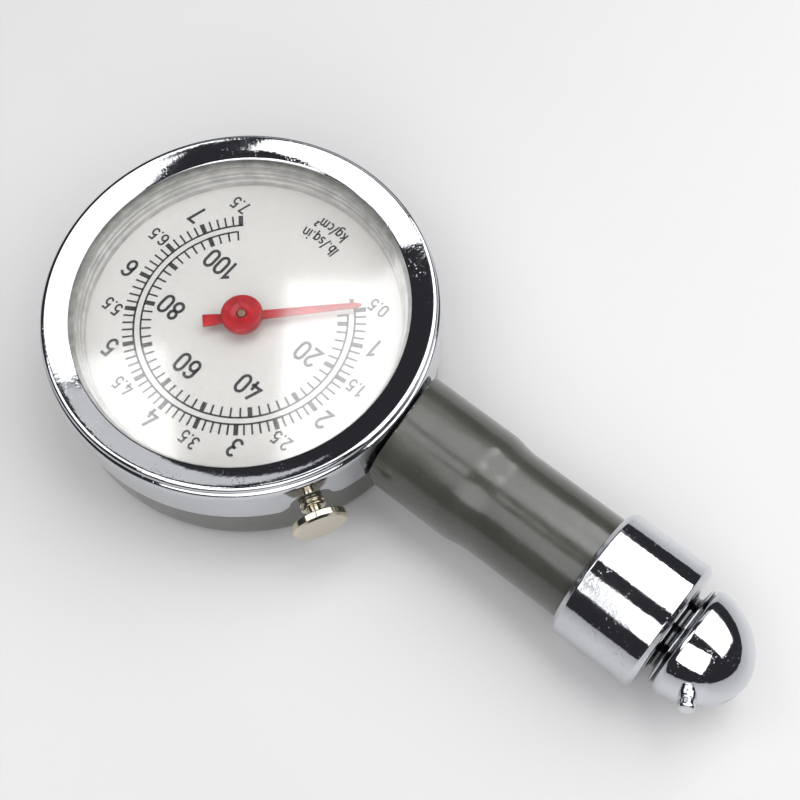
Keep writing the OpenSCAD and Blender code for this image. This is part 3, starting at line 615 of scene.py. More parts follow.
def make_finishes(colours):
    """All finishes, made once, by the names that the operators use."""
    paint, chrome = tuple(colours.paint), tuple(colours.chrome)
    FINISHES.update(
        paint=paint_finish(paint),
        chrome=plated_finish("bright_chrome", chrome, 0.01 * MM),
        worn_chrome=plated_finish("worn_chrome", chrome, 0.03 * MM, 0.04, 0.12, 0.3),
        nickel=plated_finish("warm_nickel", tuple(colours.nickel), 0.012 * MM, 0.12, 0.22),
        dial=dial_finish(tuple(colours.dial)),
        ink=ink_finish(tuple(colours.ink)),
        red=lacquer_finish("red_lacquer", tuple(colours.red)),
        lens=lens_finish(),
        spacer=dull_finish("grey_spacer", (0.52, 0.515, 0.50), 2.5 * MM, (0.3, 0.42), 0.004),
        gasket=dull_finish("grey_gasket", (0.40, 0.40, 0.38), 1.5 * MM, (0.4, 0.55), 0.004),
        rubber=dull_finish("black_rubber", (0.022, 0.022, 0.023), 0.35 * MM),
        steel=turned_finish("bright_steel", (0.58, 0.58, 0.58), (1, 1, 1)),
        brass=turned_finish("rolled_brass", (0.72, 0.52, 0.24), (0.08, 1, 1)),
        old_brass=turned_finish("old_brass", (0.30, 0.22, 0.15), (1, 1, 1)),
        bronze=turned_finish("drawn_bronze", (0.66, 0.40, 0.22), (1, 1, 0.08)),
        floor=floor_finish(tuple(colours.floor)),
    )


# ---- dial lettering ----


def bow(cx, cy, rx, ry, start, end, steps=18):
    """Points of an elliptic arc from start to end, in degrees."""
    t = np.radians(np.linspace(start, end, steps))
    return np.stack([cx + rx * np.cos(t), cy + ry * np.sin(t)], -1)


def run(*parts):
    """One stroke through single points and arcs. A point that repeats the last is left out."""
    line = np.concatenate([np.atleast_2d(np.asarray(p, float)) for p in parts])
    moved = np.linalg.norm(np.diff(line, axis=0), axis=1) > 1e-6
    return line[np.concatenate([[True], moved])]


# Each sign: its width, then its strokes as centre lines, for a height of 1
SIGNS = {
    "0": (0.54, [run(
        bow(0.27, 0.68, 0.2, 0.26, 0, 180), bow(0.27, 0.32, 0.2, 0.26, 180, 360), (0.47, 0.68)
    )]),
    "1": (0.38, [run((0.04, 0.74), (0.26, 0.95), (0.26, 0))]),
    "2": (0.52, [run(bow(0.26, 0.7, 0.19, 0.24, 170, -28), (0.06, 0.06), (0.48, 0.06))]),
    "3": (0.52, [
        run(bow(0.25, 0.725, 0.18, 0.215, 155, -90), (0.2, 0.51)),
        run((0.2, 0.51), bow(0.25, 0.285, 0.2, 0.225, 90, -155)),
    ]),
    "4": (0.56, [run((0.33, 1), (0.05, 0.27), (0.54, 0.27)), run((0.4, 0.52), (0.4, 0))]),
    "5": (0.52, [run(
        (0.46, 0.94), (0.13, 0.94), (0.1, 0.53), bow(0.26, 0.33, 0.2, 0.27, 110, -155)
    )]),
    "6": (0.54, [
        run(bow(0.29, 0.69, 0.21, 0.25, 25, 175), (0.07, 0.32)),
        run(bow(0.27, 0.31, 0.2, 0.25, 0, 360, 28)),
    ]),
    "7": (0.5, [run((0.04, 0.94), (0.46, 0.94), (0.17, 0))]),
    "8": (0.54, [
        run(bow(0.27, 0.74, 0.17, 0.2, 0, 360, 26)),
        run(bow(0.27, 0.29, 0.2, 0.23, 0, 360, 28)),
    ]),
    ".": (0.2, [run((0.1, 0), (0.1, 0.14))]),
    "/": (0.32, [run((0.03, -0.08), (0.29, 1.02))]),
    "k": (0.44, [
        run((0.07, 0), (0.07, 1)), run((0.38, 0.68), (0.08, 0.32)), run((0.18, 0.42), (0.4, 0)),
    ]),
    "g": (0.48, [
        run(bow(0.24, 0.35, 0.17, 0.29, 0, 360, 26)),
        run((0.41, 0.68), (0.41, -0.05), bow(0.24, -0.08, 0.17, 0.16, 0, -140)),
    ]),
    "c": (0.42, [run(bow(0.23, 0.34, 0.17, 0.29, 50, 310))]),
    "m": (0.7, [
        run((0.07, 0), (0.07, 0.68)),
        run(bow(0.21, 0.45, 0.14, 0.2, 180, 0), (0.35, 0)),
        run(bow(0.49, 0.45, 0.14, 0.2, 180, 0), (0.63, 0)),
    ]),
    "2^": (0.3, [
        0.5 * run(bow(0.26, 0.7, 0.19, 0.24, 170, -28), (0.06, 0.06), (0.48, 0.06)) + (0, 0.52)
    ]),
    "l": (0.18, [run((0.09, 0), (0.09, 1))]),
    "b": (0.48, [run((0.07, 0), (0.07, 1)), run(bow(0.25, 0.34, 0.17, 0.29, 0, 360, 26))]),
    "s": (0.4, [run(bow(0.2, 0.49, 0.13, 0.14, 30, 270), bow(0.2, 0.2, 0.14, 0.15, 90, -150))]),
    "q": (0.48, [run(bow(0.23, 0.34, 0.17, 0.29, 0, 360, 26)), run((0.4, 0.68), (0.4, -0.26))]),
    "i": (0.18, [run((0.09, 0), (0.09, 0.68)), run((0.09, 0.84), (0.09, 0.98))]),
    "n": (0.46, [run((0.07, 0), (0.07, 0.68)), run(bow(0.23, 0.45, 0.16, 0.2, 180, 0), (0.39, 0))]),
}


def ribbon(path, width, low, high):
    """Points and faces of a flat bar of a width carried along a path, from low to high.

    Each point's side step is the mean of its neighbours' normals, lengthened by one over the
    cosine of half the bend, so that the width holds round a corner. A sharp corner is
    lengthened no more than a cosine of 0.45 asks for.
    """
    least = 0.45
    step = np.diff(path, axis=0)
    step /= np.linalg.norm(step, axis=1, keepdims=True)
    side = np.stack([-step[:, 1], step[:, 0]], -1)
    mean = np.concatenate([side[:1], side[:-1] + side[1:], side[-1:]])
    mean /= np.linalg.norm(mean, axis=1, keepdims=True)
    other = np.concatenate([side[:1], side[1:], side[-1:]])
    reach = width / 2 / np.maximum(np.einsum("ij,ij->i", mean, other), least)[:, None]
    left, right = path + mean * reach, path - mean * reach
    rows = [
        np.column_stack([edge, np.full(len(path), z)])
        for edge, z in ((left, low), (left, high), (right, high), (right, low))
    ]
    points = np.stack(rows, 1).reshape(-1, 3)
    last = 4 * (len(path) - 1)
    ends = np.array([[3, 2, 1, 0], [last, last + 1, last + 2, last + 3]])
    return points, np.concatenate([grid_faces(len(path), 4, False, True), ends])


def joined(parts):
    """Several sets of points and faces as one, each turned outwards."""
    points, faces, count = [], [], 0
    for some_points, some_faces in parts:
        some_faces = facing_out(some_points, [some_faces])[0]
        points.append(some_points)
        faces.append(some_faces + count)
        count += len(some_points)
    return np.concatenate(points), [np.concatenate(faces)]


def turned(angle):
    """Flat turn by an angle."""
    c, s = math.cos(angle), math.sin(angle)
    return np.array([[c, -s], [s, c]])


def ticks(angles, start, end, width, low, high):
    """Bars from radius start to end at each angle."""
    return [
        ribbon(np.array([[start, 0], [end, 0]]) @ turned(a).T, width, low, high) for a in angles
    ]


def signs_of(text):
    """The names of a text's signs; the raised two is written as 2 after m."""
    names = list(text)
    return ["2^" if n == "2" and i and names[i - 1] == "m" else n for i, n in enumerate(names)]


def written(text, height):
    """Strokes of a line of text, centred on the origin."""
    names = signs_of(text)
    gap = 0.07
    widths = np.array([SIGNS[n][0] + gap for n in names])
    starts = (np.cumsum(widths) - widths - widths.sum() / 2 + gap / 2) * height
    strokes = []
    for name, x in zip(names, starts):
        for stroke in SIGNS[name][1]:
            strokes.append(stroke * height + (x, -height / 2))
    return strokes


def upright_text(text, height, centre, low, high):
    """Text whose top points to the dial's upper side, which is -Y, about a centre."""
    width = STROKE * height
    return [ribbon(-stroke + centre, width, low, high) for stroke in written(text, height)]


def bent_text(text, height, radius, angle, low, high):
    """Text bent along a circle, with its top towards the centre, about an angle."""
    width = UNIT_STROKE * height
    parts = []
    for stroke in written(text, height):
        r = radius - stroke[:, 1]
        t = angle + stroke[:, 0] / radius
        parts.append(ribbon(np.stack([r * np.cos(t), r * np.sin(t)], -1), width, low, high))
    return parts


def scale_angle(dial, value):
    """Direction of an outer scale value: half a unit at the start, seven and a half at the end."""
    return dial.start - (value - 0.5) / 7 * dial.sweep


# ---- operators ----


class GAUGE_OT_case(bpy.types.Operator):
    """Painted cup behind the dial: flat back, rounded edge, straight wall"""

    bl_idname = "gauge.case"
    bl_label = "Case"

    def execute(self, context):
        """Turns the cup's outline about Z: back, outer wall, rim, inner wall, inner floor."""
        shape = context.scene.gauge_shape
        wall, back, ledge = 1.2 * MM, 1.4 * MM, 0.9 * MM
        inner = CUP_R - wall
        corners = [
            (0, 0), (CUP_R, 0), (CUP_R, CUP_HIGH[2]), (inner, CUP_HIGH[2]),
            (inner, DIAL_LOW[2]), (inner - ledge, DIAL_LOW[2]), (inner - ledge, back),
            (0, back),
        ]
        radii = [0, shape.corner, 0.15 * MM, 0.1 * MM, 0.05 * MM, 0.1 * MM, 1.0 * MM, 0]
        cup = lathe("case", rounded(corners, radii, 14), 320)
        points = points_of(cup)
        across = np.hypot(points[:, 0], points[:, 1])
        edge = (CUP_R - 0.8 * MM, 0.8 * MM)
        wear_near(cup, across, points[:, 2], edge, 1.2 * MM, 0.55)
        set_down(cup, "gauge", "grey_paint", FINISHES["paint"], "case_cup")
        return {"FINISHED"}


def skirt_edge(shape, t):
    """Height of the skirt's lower edge at each angle t.

    Over each arch it is the arch's round top, z = centre + sqrt(r^2 - d^2) at a sideways
    distance d, but never below the foot, and beside it the foot slopes out to the plain edge.
    Only the side towards the handle and the button has arches.
    """
    above_bush, near_side = 0.9 * MM, 0.2
    edge = np.full_like(t, SKIRT_LOW)
    foot = SKIRT_LOW + shape.arch_flare
    for centre, sideways, r in (
        (STEM_Z, SKIRT_R * np.sin(t) - STEM_Y, shape.handle_arch),
        (BUTTON_Z + above_bush, SKIRT_R * np.sin(t - BUTTON_TURN), shape.button_arch),
    ):
        d = np.abs(sideways)
        arch = np.maximum(centre + np.sqrt(np.clip(r**2 - d**2, 0, None)), foot)
        slope = np.maximum(foot - (d - r), SKIRT_LOW)
        here = np.where(d < r, arch, slope)
        edge = np.maximum(edge, np.where(np.cos(t - BUTTON_TURN) > near_side, here, SKIRT_LOW))
    return edge


def even_edge(shape, count):
    """Angles and heights of the skirt's lower edge, evenly spaced along it and smoothed."""
    fine = 40001
    t = np.linspace(-math.pi, math.pi, fine)
    z = skirt_edge(shape, t)
    along = np.concatenate([[0], np.cumsum(np.hypot(np.diff(t) * SKIRT_R, np.diff(z)))])
    even = np.linspace(0, along[-1], count, endpoint=False)
    angles, heights = np.interp(even, along, t), np.interp(even, along, z)
    weights = np.array([1, 3, 4, 3, 1]) / 12
    heights = np.convolve(np.pad(heights, 2, mode="wrap"), weights, "valid")
    return angles, heights


class GAUGE_OT_bezel(bpy.types.Operator):
    """Chromed ring: rolled bead, sloped lip over the lens, and a skirt with two arches"""

    bl_idname = "gauge.bezel"
    bl_label = "Bezel"

    def execute(self, context):
        """Carries one closed outline round the case.

        Each outline point (r, z) has a share w: its height at angle t is
        z + w (edge(t) - plain edge), so the skirt's foot follows the arches and the bead stays.
        """
        shape = context.scene.gauge_shape
        outer, inner = SKIRT_R, SKIRT_R - shape.skirt
        bead = np.array([outer - 1.02 * MM, CASE_TOP - shape.bead])
        t = np.radians(np.linspace(-52, 90 + math.degrees(shape.lip_turn), 18))
        roll = bead + shape.bead * np.stack([np.cos(t), np.sin(t)], -1)
        slope = math.tan(shape.lip_turn)
        drop = (roll[-1, 0] - shape.lip - 0.25 * MM) * slope
        lip_edge = (shape.lip + 0.25 * MM, roll[-1, 1] - drop)
        lens_r = LENS_HIGH[0] + 0.1 * MM
        upper = [
            (outer, CASE_TOP - 2.15 * MM), (outer - 0.12 * MM, CASE_TOP - 1.55 * MM),
            (outer - 0.55 * MM, CASE_TOP - 1.25 * MM), (roll[0, 0], roll[0, 1] - 0.02 * MM),
        ]
        shoulder = rounded(upper, [0, 0.25 * MM, 0.2 * MM, 0], 5)[:-1]
        under = rounded(
            [lip_edge, (shape.lip, LENS_TOP + 0.1 * MM), (shape.lip, LENS_TOP),
             (lens_r, LENS_TOP), (lens_r, SPACER_HIGH[2]), (inner, SPACER_HIGH[2])],
            [0, 0.12 * MM, 0.03 * MM, 0, 0, 0], 5,
        )
        lift = np.array([0, 0.05, 0.13, 0.22, 0.3, 0.6, 1.6, 3.6, 5.9, 6.8]) * MM
        fading = 6.85 * MM
        share = 1 - lift / fading
        out_r = outer - np.array([0.2, 0.08, 0.01, 0, 0, 0, 0, 0, 0, 0]) * MM
        in_r = inner + np.array([0.15, 0.04, 0, 0, 0, 0, 0, 0, 0, 0]) * MM
        wall_out = np.stack([out_r, SKIRT_LOW + lift], -1)
        wall_in = np.stack([in_r, SKIRT_LOW + lift * 0.9], -1)[::-1]
        outline = np.concatenate([wall_out, shoulder, roll, under, wall_in])
        fixed = np.zeros(len(shoulder) + len(roll) + len(under))
        w = np.concatenate([share, fixed, share[::-1]])
        turns = 1100
        angles, heights = even_edge(shape, turns)
        r = outline[:, :1] + 0 * angles
        z = outline[:, 1:] + w[:, None] * (heights - SKIRT_LOW)
        points = np.stack([r * np.cos(angles), r * np.sin(angles), z], -1).reshape(-1, 3)
        faces = [grid_faces(len(outline), len(angles), True, True)]
        ring = new_piece("bezel", points, facing_out(points, faces))
        set_down(ring, "gauge", "chrome", FINISHES["chrome"], "bezel_ring")
        return {"FINISHED"}


class GAUGE_OT_window(bpy.types.Operator):
    """Clear lens, and the stepped grey ring that holds it off the dial"""

    bl_idname = "gauge.window"
    bl_label = "Lens and spacer"

    def execute(self, context):
        """Turns the lens's and the spacer's outlines about Z."""
        shape = context.scene.gauge_shape
        r = LENS_HIGH[0]
        edge = 0.12 * MM
        corners = [(0, LENS_LOW[2]), (r, LENS_LOW[2]), (r, LENS_TOP), (0, LENS_TOP)]
        lens = lathe("lens", rounded(corners, [0, edge, edge, 0]), 256)
        set_down(lens, "gauge", "lens_glass", FINISHES["lens"], "lens")
        w, low, high = shape.window, SPACER_LOW[2], SPACER_HIGH[2]
        step = (high - low) / 5
        corners = [
            (w, low), (SPACER_HIGH[1], low), (SPACER_HIGH[1], high), (w + 0.95 * MM, high),
            (w + 0.95 * MM, high - step), (w + 0.65 * MM, high - step),
            (w + 0.65 * MM, high - 2 * step), (w + 0.4 * MM, high - 2 * step),
            (w + 0.4 * MM, high - 3.2 * step), (w + 0.05 * MM, high - 3.5 * step),
        ]
        radii = [0.05, 0.1, 0.1, 0.1, 0.08, 0.1, 0.08, 0.1, 0.12, 0.15]
        spacer = lathe(
            "dial_ring", rounded(corners, np.array(radii) * MM), 256, ring=True
        )
        set_down(spacer, "gauge", "spacer_grey", FINISHES["spacer"], "dial_spacer")
        coat("lens_gasket", FINISHES["gasket"])
        return {"FINISHED"}


class GAUGE_OT_dial(bpy.types.Operator):
    """Silver-white dial with a scale on each side of a double ring, and the pointer's stop"""

    bl_idname = "gauge.dial"
    bl_label = "Dial"

    def execute(self, context):
        """Turns the plate about Z, prints both scales and their numbers, and adds the stop."""
        dial = context.scene.gauge_dial
        low, high = DIAL_TOP - 0.01 * MM, DIAL_TOP + 0.03 * MM
        self.plate()
        self.scales(dial, low, high)
        self.numbers(dial, low, high)
        self.stop()
        return {"FINISHED"}

    def plate(self):
        """The round plate with a hole for the arbor."""
        hole, edge = ARBOR_HIGH[0] + 0.5 * MM, 0.05 * MM
        corners = [
            (hole, DIAL_LOW[2]), (DIAL_HIGH[0], DIAL_LOW[2]), (DIAL_HIGH[0], DIAL_TOP),
            (hole, DIAL_TOP),
        ]
        plate = lathe("dial_plate_face", rounded(corners, [edge] * 4), 256, ring=True)
        set_down(plate, "gauge", "dial_paint", FINISHES["dial"], "dial_plate")

    def scales(self, dial, low, high):
        """Ribbons of ink along both rings, and bars for the ticks on each side of them."""
        first, last = 8, 106
        half = dial.thick / 2 / dial.outer_ring
        t = np.linspace(dial.start + half, dial.start - dial.sweep - half, 500)
        ring = np.stack([np.cos(t), np.sin(t)], -1)
        t = np.linspace(scale_angle(dial, first / POUNDS), scale_angle(dial, last / POUNDS), 480)
        inner_ring = np.stack([np.cos(t), np.sin(t)], -1)
        parts = [
            ribbon(ring * (dial.outer_ring + dial.line / 2), dial.line, low, high),
            ribbon(inner_ring * (dial.inner_ring - dial.line / 2), dial.line, low, high),
        ]
        tenths = np.arange(71)
        pounds = np.arange(first, last + 1, 2)
        for values, main, start, end in (
            (0.5 + tenths / 10, tenths % 5 == 0,
             dial.outer_ring, dial.outer_ring + dial.outer_tick),
            (pounds / POUNDS, pounds % 10 == 0,
             dial.inner_ring - dial.inner_tick, dial.inner_ring),
        ):
            angles = scale_angle(dial, values)
            parts += ticks(angles[~main], start, end, dial.line, low, high)
            parts += ticks(angles[main], start, end, dial.thick, low, high)
        scale = new_piece("dial_scale", *joined(parts), smooth=False)
        set_down(scale, "gauge", None, FINISHES["ink"])

    def numbers(self, dial, low, high):
        """The numbers of both scales, and the names of their units along a bend."""
        parts = []
        for value in np.arange(0.5, 7.6, 0.5):
            a = scale_angle(dial, value)
            centre = dial.number_r * np.array([math.cos(a), math.sin(a)])
            whole = value % 1 == 0
            text = f"{value:.0f}" if whole else f"{value:.1f}"
            parts += upright_text(text, dial.large if whole else dial.small, centre, low, high)
        for value, inward in ((20, 0), (40, 0.3), (60, 0.3), (80, -0.3), (100, 0.5)):
            a = scale_angle(dial, value / POUNDS)
            centre = (dial.inner_r - inward * MM) * np.array([math.cos(a), math.sin(a)])
            parts += upright_text(str(value), dial.inner_size, centre, low, high)
        foot = math.radians(90)
        for text, r in (("kg/cm2", 19.0 * MM), ("lb./sq.in", 16.5 * MM)):
            parts += bent_text(text, dial.unit_size, r, foot, low, high)
        numbers = new_piece("dial_numbers", *joined(parts), smooth=False)
        set_down(numbers, "gauge", None, FINISHES["ink"])

    def stop(self):
        """The round-topped pin that the pointer rests on."""
        r = (PIN_HIGH[0] - PIN_LOW[0]) / 2
        centre = np.array([(PIN_LOW[0] + PIN_HIGH[0]) / 2, (PIN_LOW[1] + PIN_HIGH[1]) / 2, 0])
        corners = [(0, PIN_LOW[2]), (r, PIN_LOW[2]), (r, PIN_HIGH[2]), (0, PIN_HIGH[2])]
        pin = lathe(
            "stop", rounded(corners, [0, 0.05 * MM, 0.12 * MM, 0]), 48, (np.eye(3), centre)
        )
        set_down(pin, "gauge", "steel", FINISHES["steel"], "stop_pin")


class GAUGE_OT_pointer(bpy.types.Operator):
    """Red pointer with a round hub, on the end of its arbor"""

    bl_idname = "gauge.pointer"
    bl_label = "Pointer"

    def execute(self, context):
        """Carries a slab with rounded sides along the needle.

        At distance s from the axis the half width is w(s), and the section is the curve
        (w cos a, h sin a) squared off by raising the cosine and sine to the power 0.35.
        """
        dial = context.scene.gauge_dial
        z = (POINTER_LOW[2] + POINTER_HIGH[2]) / 2
        half = (POINTER_HIGH[2] - POINTER_LOW[2]) / 2
        s = np.concatenate([
            [-5.6, -5.59, -5.55, -5.4], np.linspace(-5.2, 15.9, 60),
            [16.2, 16.45, 16.6, 16.68, 16.7],
        ]) * MM
        w = np.interp(
            s / MM,
            [-5.6, -5.59, -5.55, -5.4, -2.5, 0, 3, 12, 15.9, 16.45, 16.68, 16.7],
            [0.75, 0.85, 0.9, 0.92, 0.72, 0.7, 0.66, 0.5, 0.38, 0.2, 0.06, 0.02],
        ) * MM
        around, square = 20, 0.35
        a = np.linspace(0, FULL, around, endpoint=False)
        across = np.sign(np.cos(a)) * np.abs(np.cos(a)) ** square
        over = np.sign(np.sin(a)) * np.abs(np.sin(a)) ** square
        flat = np.ones_like(s)
        flat[[0, -1]] = 0.4
        local = np.stack([
            s[:, None] + 0 * a, w[:, None] * across, z + half * flat[:, None] * over
        ], -1).reshape(-1, 3)
        ends = np.array([[s[0], 0, z], [s[-1], 0, z]])
        turn_z = np.array(Matrix.Rotation(dial.start, 3, "Z"))
        points = np.concatenate([local, ends]) @ turn_z.T
        j = np.arange(around)
        beside, first, last_row = (j + 1) % around, len(local), (len(s) - 1) * around
        faces = [
            grid_faces(len(s), around, False, True),
            np.stack([np.full(around, first), beside, j], -1),
            np.stack([np.full(around, first + 1), last_row + j, last_row + beside], -1),
        ]
        needle = new_piece("needle", points, facing_out(points, faces))
        set_down(needle, "pointer_shaft", "red_paint", FINISHES["red"], "pointer")
        low, high, bore = HUB_LOW[2] - 0.35 * MM, HUB_HIGH[2], ARBOR_HIGH[0] + 0.02 * MM
        corners = [
            (bore, low), (HUB_R - 0.35 * MM, low), (HUB_R - 0.05 * MM, low + 0.3 * MM),
            (HUB_R, low + 0.45 * MM), (HUB_R, high - 0.2 * MM), (HUB_R - 0.3 * MM, high),
            (bore + 0.9 * MM, high), (bore + 0.25 * MM, high - 0.1 * MM), (bore, high - 0.3 * MM),
        ]
        radii = np.array([0.05, 0.1, 0.08, 0.08, 0.16, 0.08, 0.2, 0.15, 0.08]) * MM
        hub = lathe("hub", rounded(corners, radii, 7), 128, ring=True)
        set_down(hub, "pointer_shaft", "red_paint", FINISHES["red"], "pointer_hub")
        r = ARBOR_HIGH[0]
        corners = [(0, ARBOR_LOW[2]), (r, ARBOR_LOW[2]), (r, ARBOR_HIGH[2]), (0, ARBOR_HIGH[2])]
        arbor = lathe("arbor", rounded(corners, [0, 0.05 * MM, 0.18 * MM, 0]), 64)
        set_down(arbor, "pointer_shaft", "brass", FINISHES["old_brass"], "pointer_arbor")
        return {"FINISHED"}


class GAUGE_OT_handle(bpy.types.Operator):
    """Painted boss and handle with worn edges"""

    bl_idname = "gauge.handle"
    bl_label = "Handle"

    def execute(self, context):
        """Turns the boss's and the handle's outlines about the handle's axis."""
        shape = context.scene.gauge_shape
        r = (BOSS_HIGH[1] - BOSS_LOW[1]) / 2
        start, end, bore = BOSS_LOW[0], BOSS_HIGH[0], 2.5 * MM
        corners = [(bore, start), (r, start), (r, end), (bore, end)]
        boss = lathe("boss", rounded(corners, [0.05 * MM, 0.1 * MM, 0.35 * MM, 0.05 * MM], 7),
                     160, STEM, ring=True)
        points = points_of(boss)
        edge = (r - 0.15 * MM, end - 0.15 * MM)
        wear_near(boss, from_stem(points), points[:, 0], edge, 0.5 * MM, 0.9)
        follow_round(boss, end, end - start, -1)
        set_down(boss, "gauge", "grey_paint", FINISHES["paint"], "neck_boss")
        coat("neck_washer", FINISHES["rubber"])
        r1, r2 = (HANDLE_HIGH[1] - HANDLE_LOW[1]) / 2, shape.handle_thin
        start, end = WASHER_HIGH[0], HANDLE_HIGH[0]
        step = start + shape.thick_length
        thin = step + shape.taper_length
        wall, end_wall = 1.5 * MM, 3.8 * MM
        inner, floor = r2 - wall, start + end_wall
        corners = [
            (bore, start), (r1, start), (r1, step), (r2, thin), (r2, end), (inner, end),
            (inner, floor), (bore, floor),
        ]
        radii = np.array([0.05, 0.3, 1.3, 1.3, 0.1, 0.05, 0.05, 0.05]) * MM
        outline = cut_long(rounded(corners, radii, 9), 1.5 * MM)
        handle = lathe("handle", outline, 256, STEM, ring=True)
        points = points_of(handle)
        edge = (r1 - 0.18 * MM, start + 0.18 * MM)
        wear_near(handle, from_stem(points), points[:, 0], edge, 0.45 * MM, 0.75)
        follow_round(handle, start, 9 * MM, 1)
        set_down(handle, "gauge", "grey_paint", FINISHES["paint"], "handle_tube")
        return {"FINISHED"}


def frame_reach(node, direction):
    """How far a node reaches along a direction from the axis of the case."""
    return float((points_of(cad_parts[node]) @ np.asarray(direction, float)).max())


class GAUGE_OT_button(bpy.types.Operator):
    """Plated button and the ridged bush that it slides in"""

    bl_idname = "gauge.button"
    bl_label = "Release button"

    def execute(self, context):
        """Turns both outlines about the button's axis, which points out of the case."""
        shape = context.scene.gauge_shape
        away = np.array([math.cos(BUTTON_TURN), math.sin(BUTTON_TURN), 0])
        reach = frame_reach("release_button", away)
        foot = -frame_reach("release_button", -away)
        thickness, r = 1.4 * MM, shape.button
        head = reach - thickness
        corners = [
            (0, foot), (shape.shaft, foot), (shape.shaft, head), (r - 0.5 * MM, head),
            (r, head + 0.22 * MM), (r, reach - 0.34 * MM), (r - 0.42 * MM, reach), (0, reach),
        ]
        radii = np.array([0, 0.05, 0.12, 0.1, 0.12, 0.06, 0.07, 0]) * MM
        button = lathe("button", rounded(corners, radii, 6), 160, BUTTON)
        set_down(button, "button", "nickel", FINISHES["nickel"], "release_button")
        start = -frame_reach("button_bush", -away)
        end = frame_reach("button_bush", away)
        outer, bore = shape.bush, shape.shaft + 0.05 * MM
        ridges, pitch = 3, 0.7 * MM
        first = end - ridges * pitch
        k = np.repeat(np.arange(ridges), 4)
        rise = np.tile([-0.28, -0.28, 0, 0], ridges) * MM
        step = np.tile([0, 0.21, 0.35, 0.63], ridges) * MM
        ribs = np.stack([outer + rise, first + k * pitch + step], -1)
        corners = np.concatenate([
            [(bore, start), (outer, start), (outer, first - 0.1 * MM)], ribs,
            [(outer - 0.3 * MM, end), (bore, end)],
        ])
        bush = lathe("bush", rounded(corners, np.full(len(corners), 0.07 * MM)), 96, BUTTON, True)
        set_down(bush, "gauge", "nickel", FINISHES["nickel"], "button_bush")
        return {"FINISHED"}


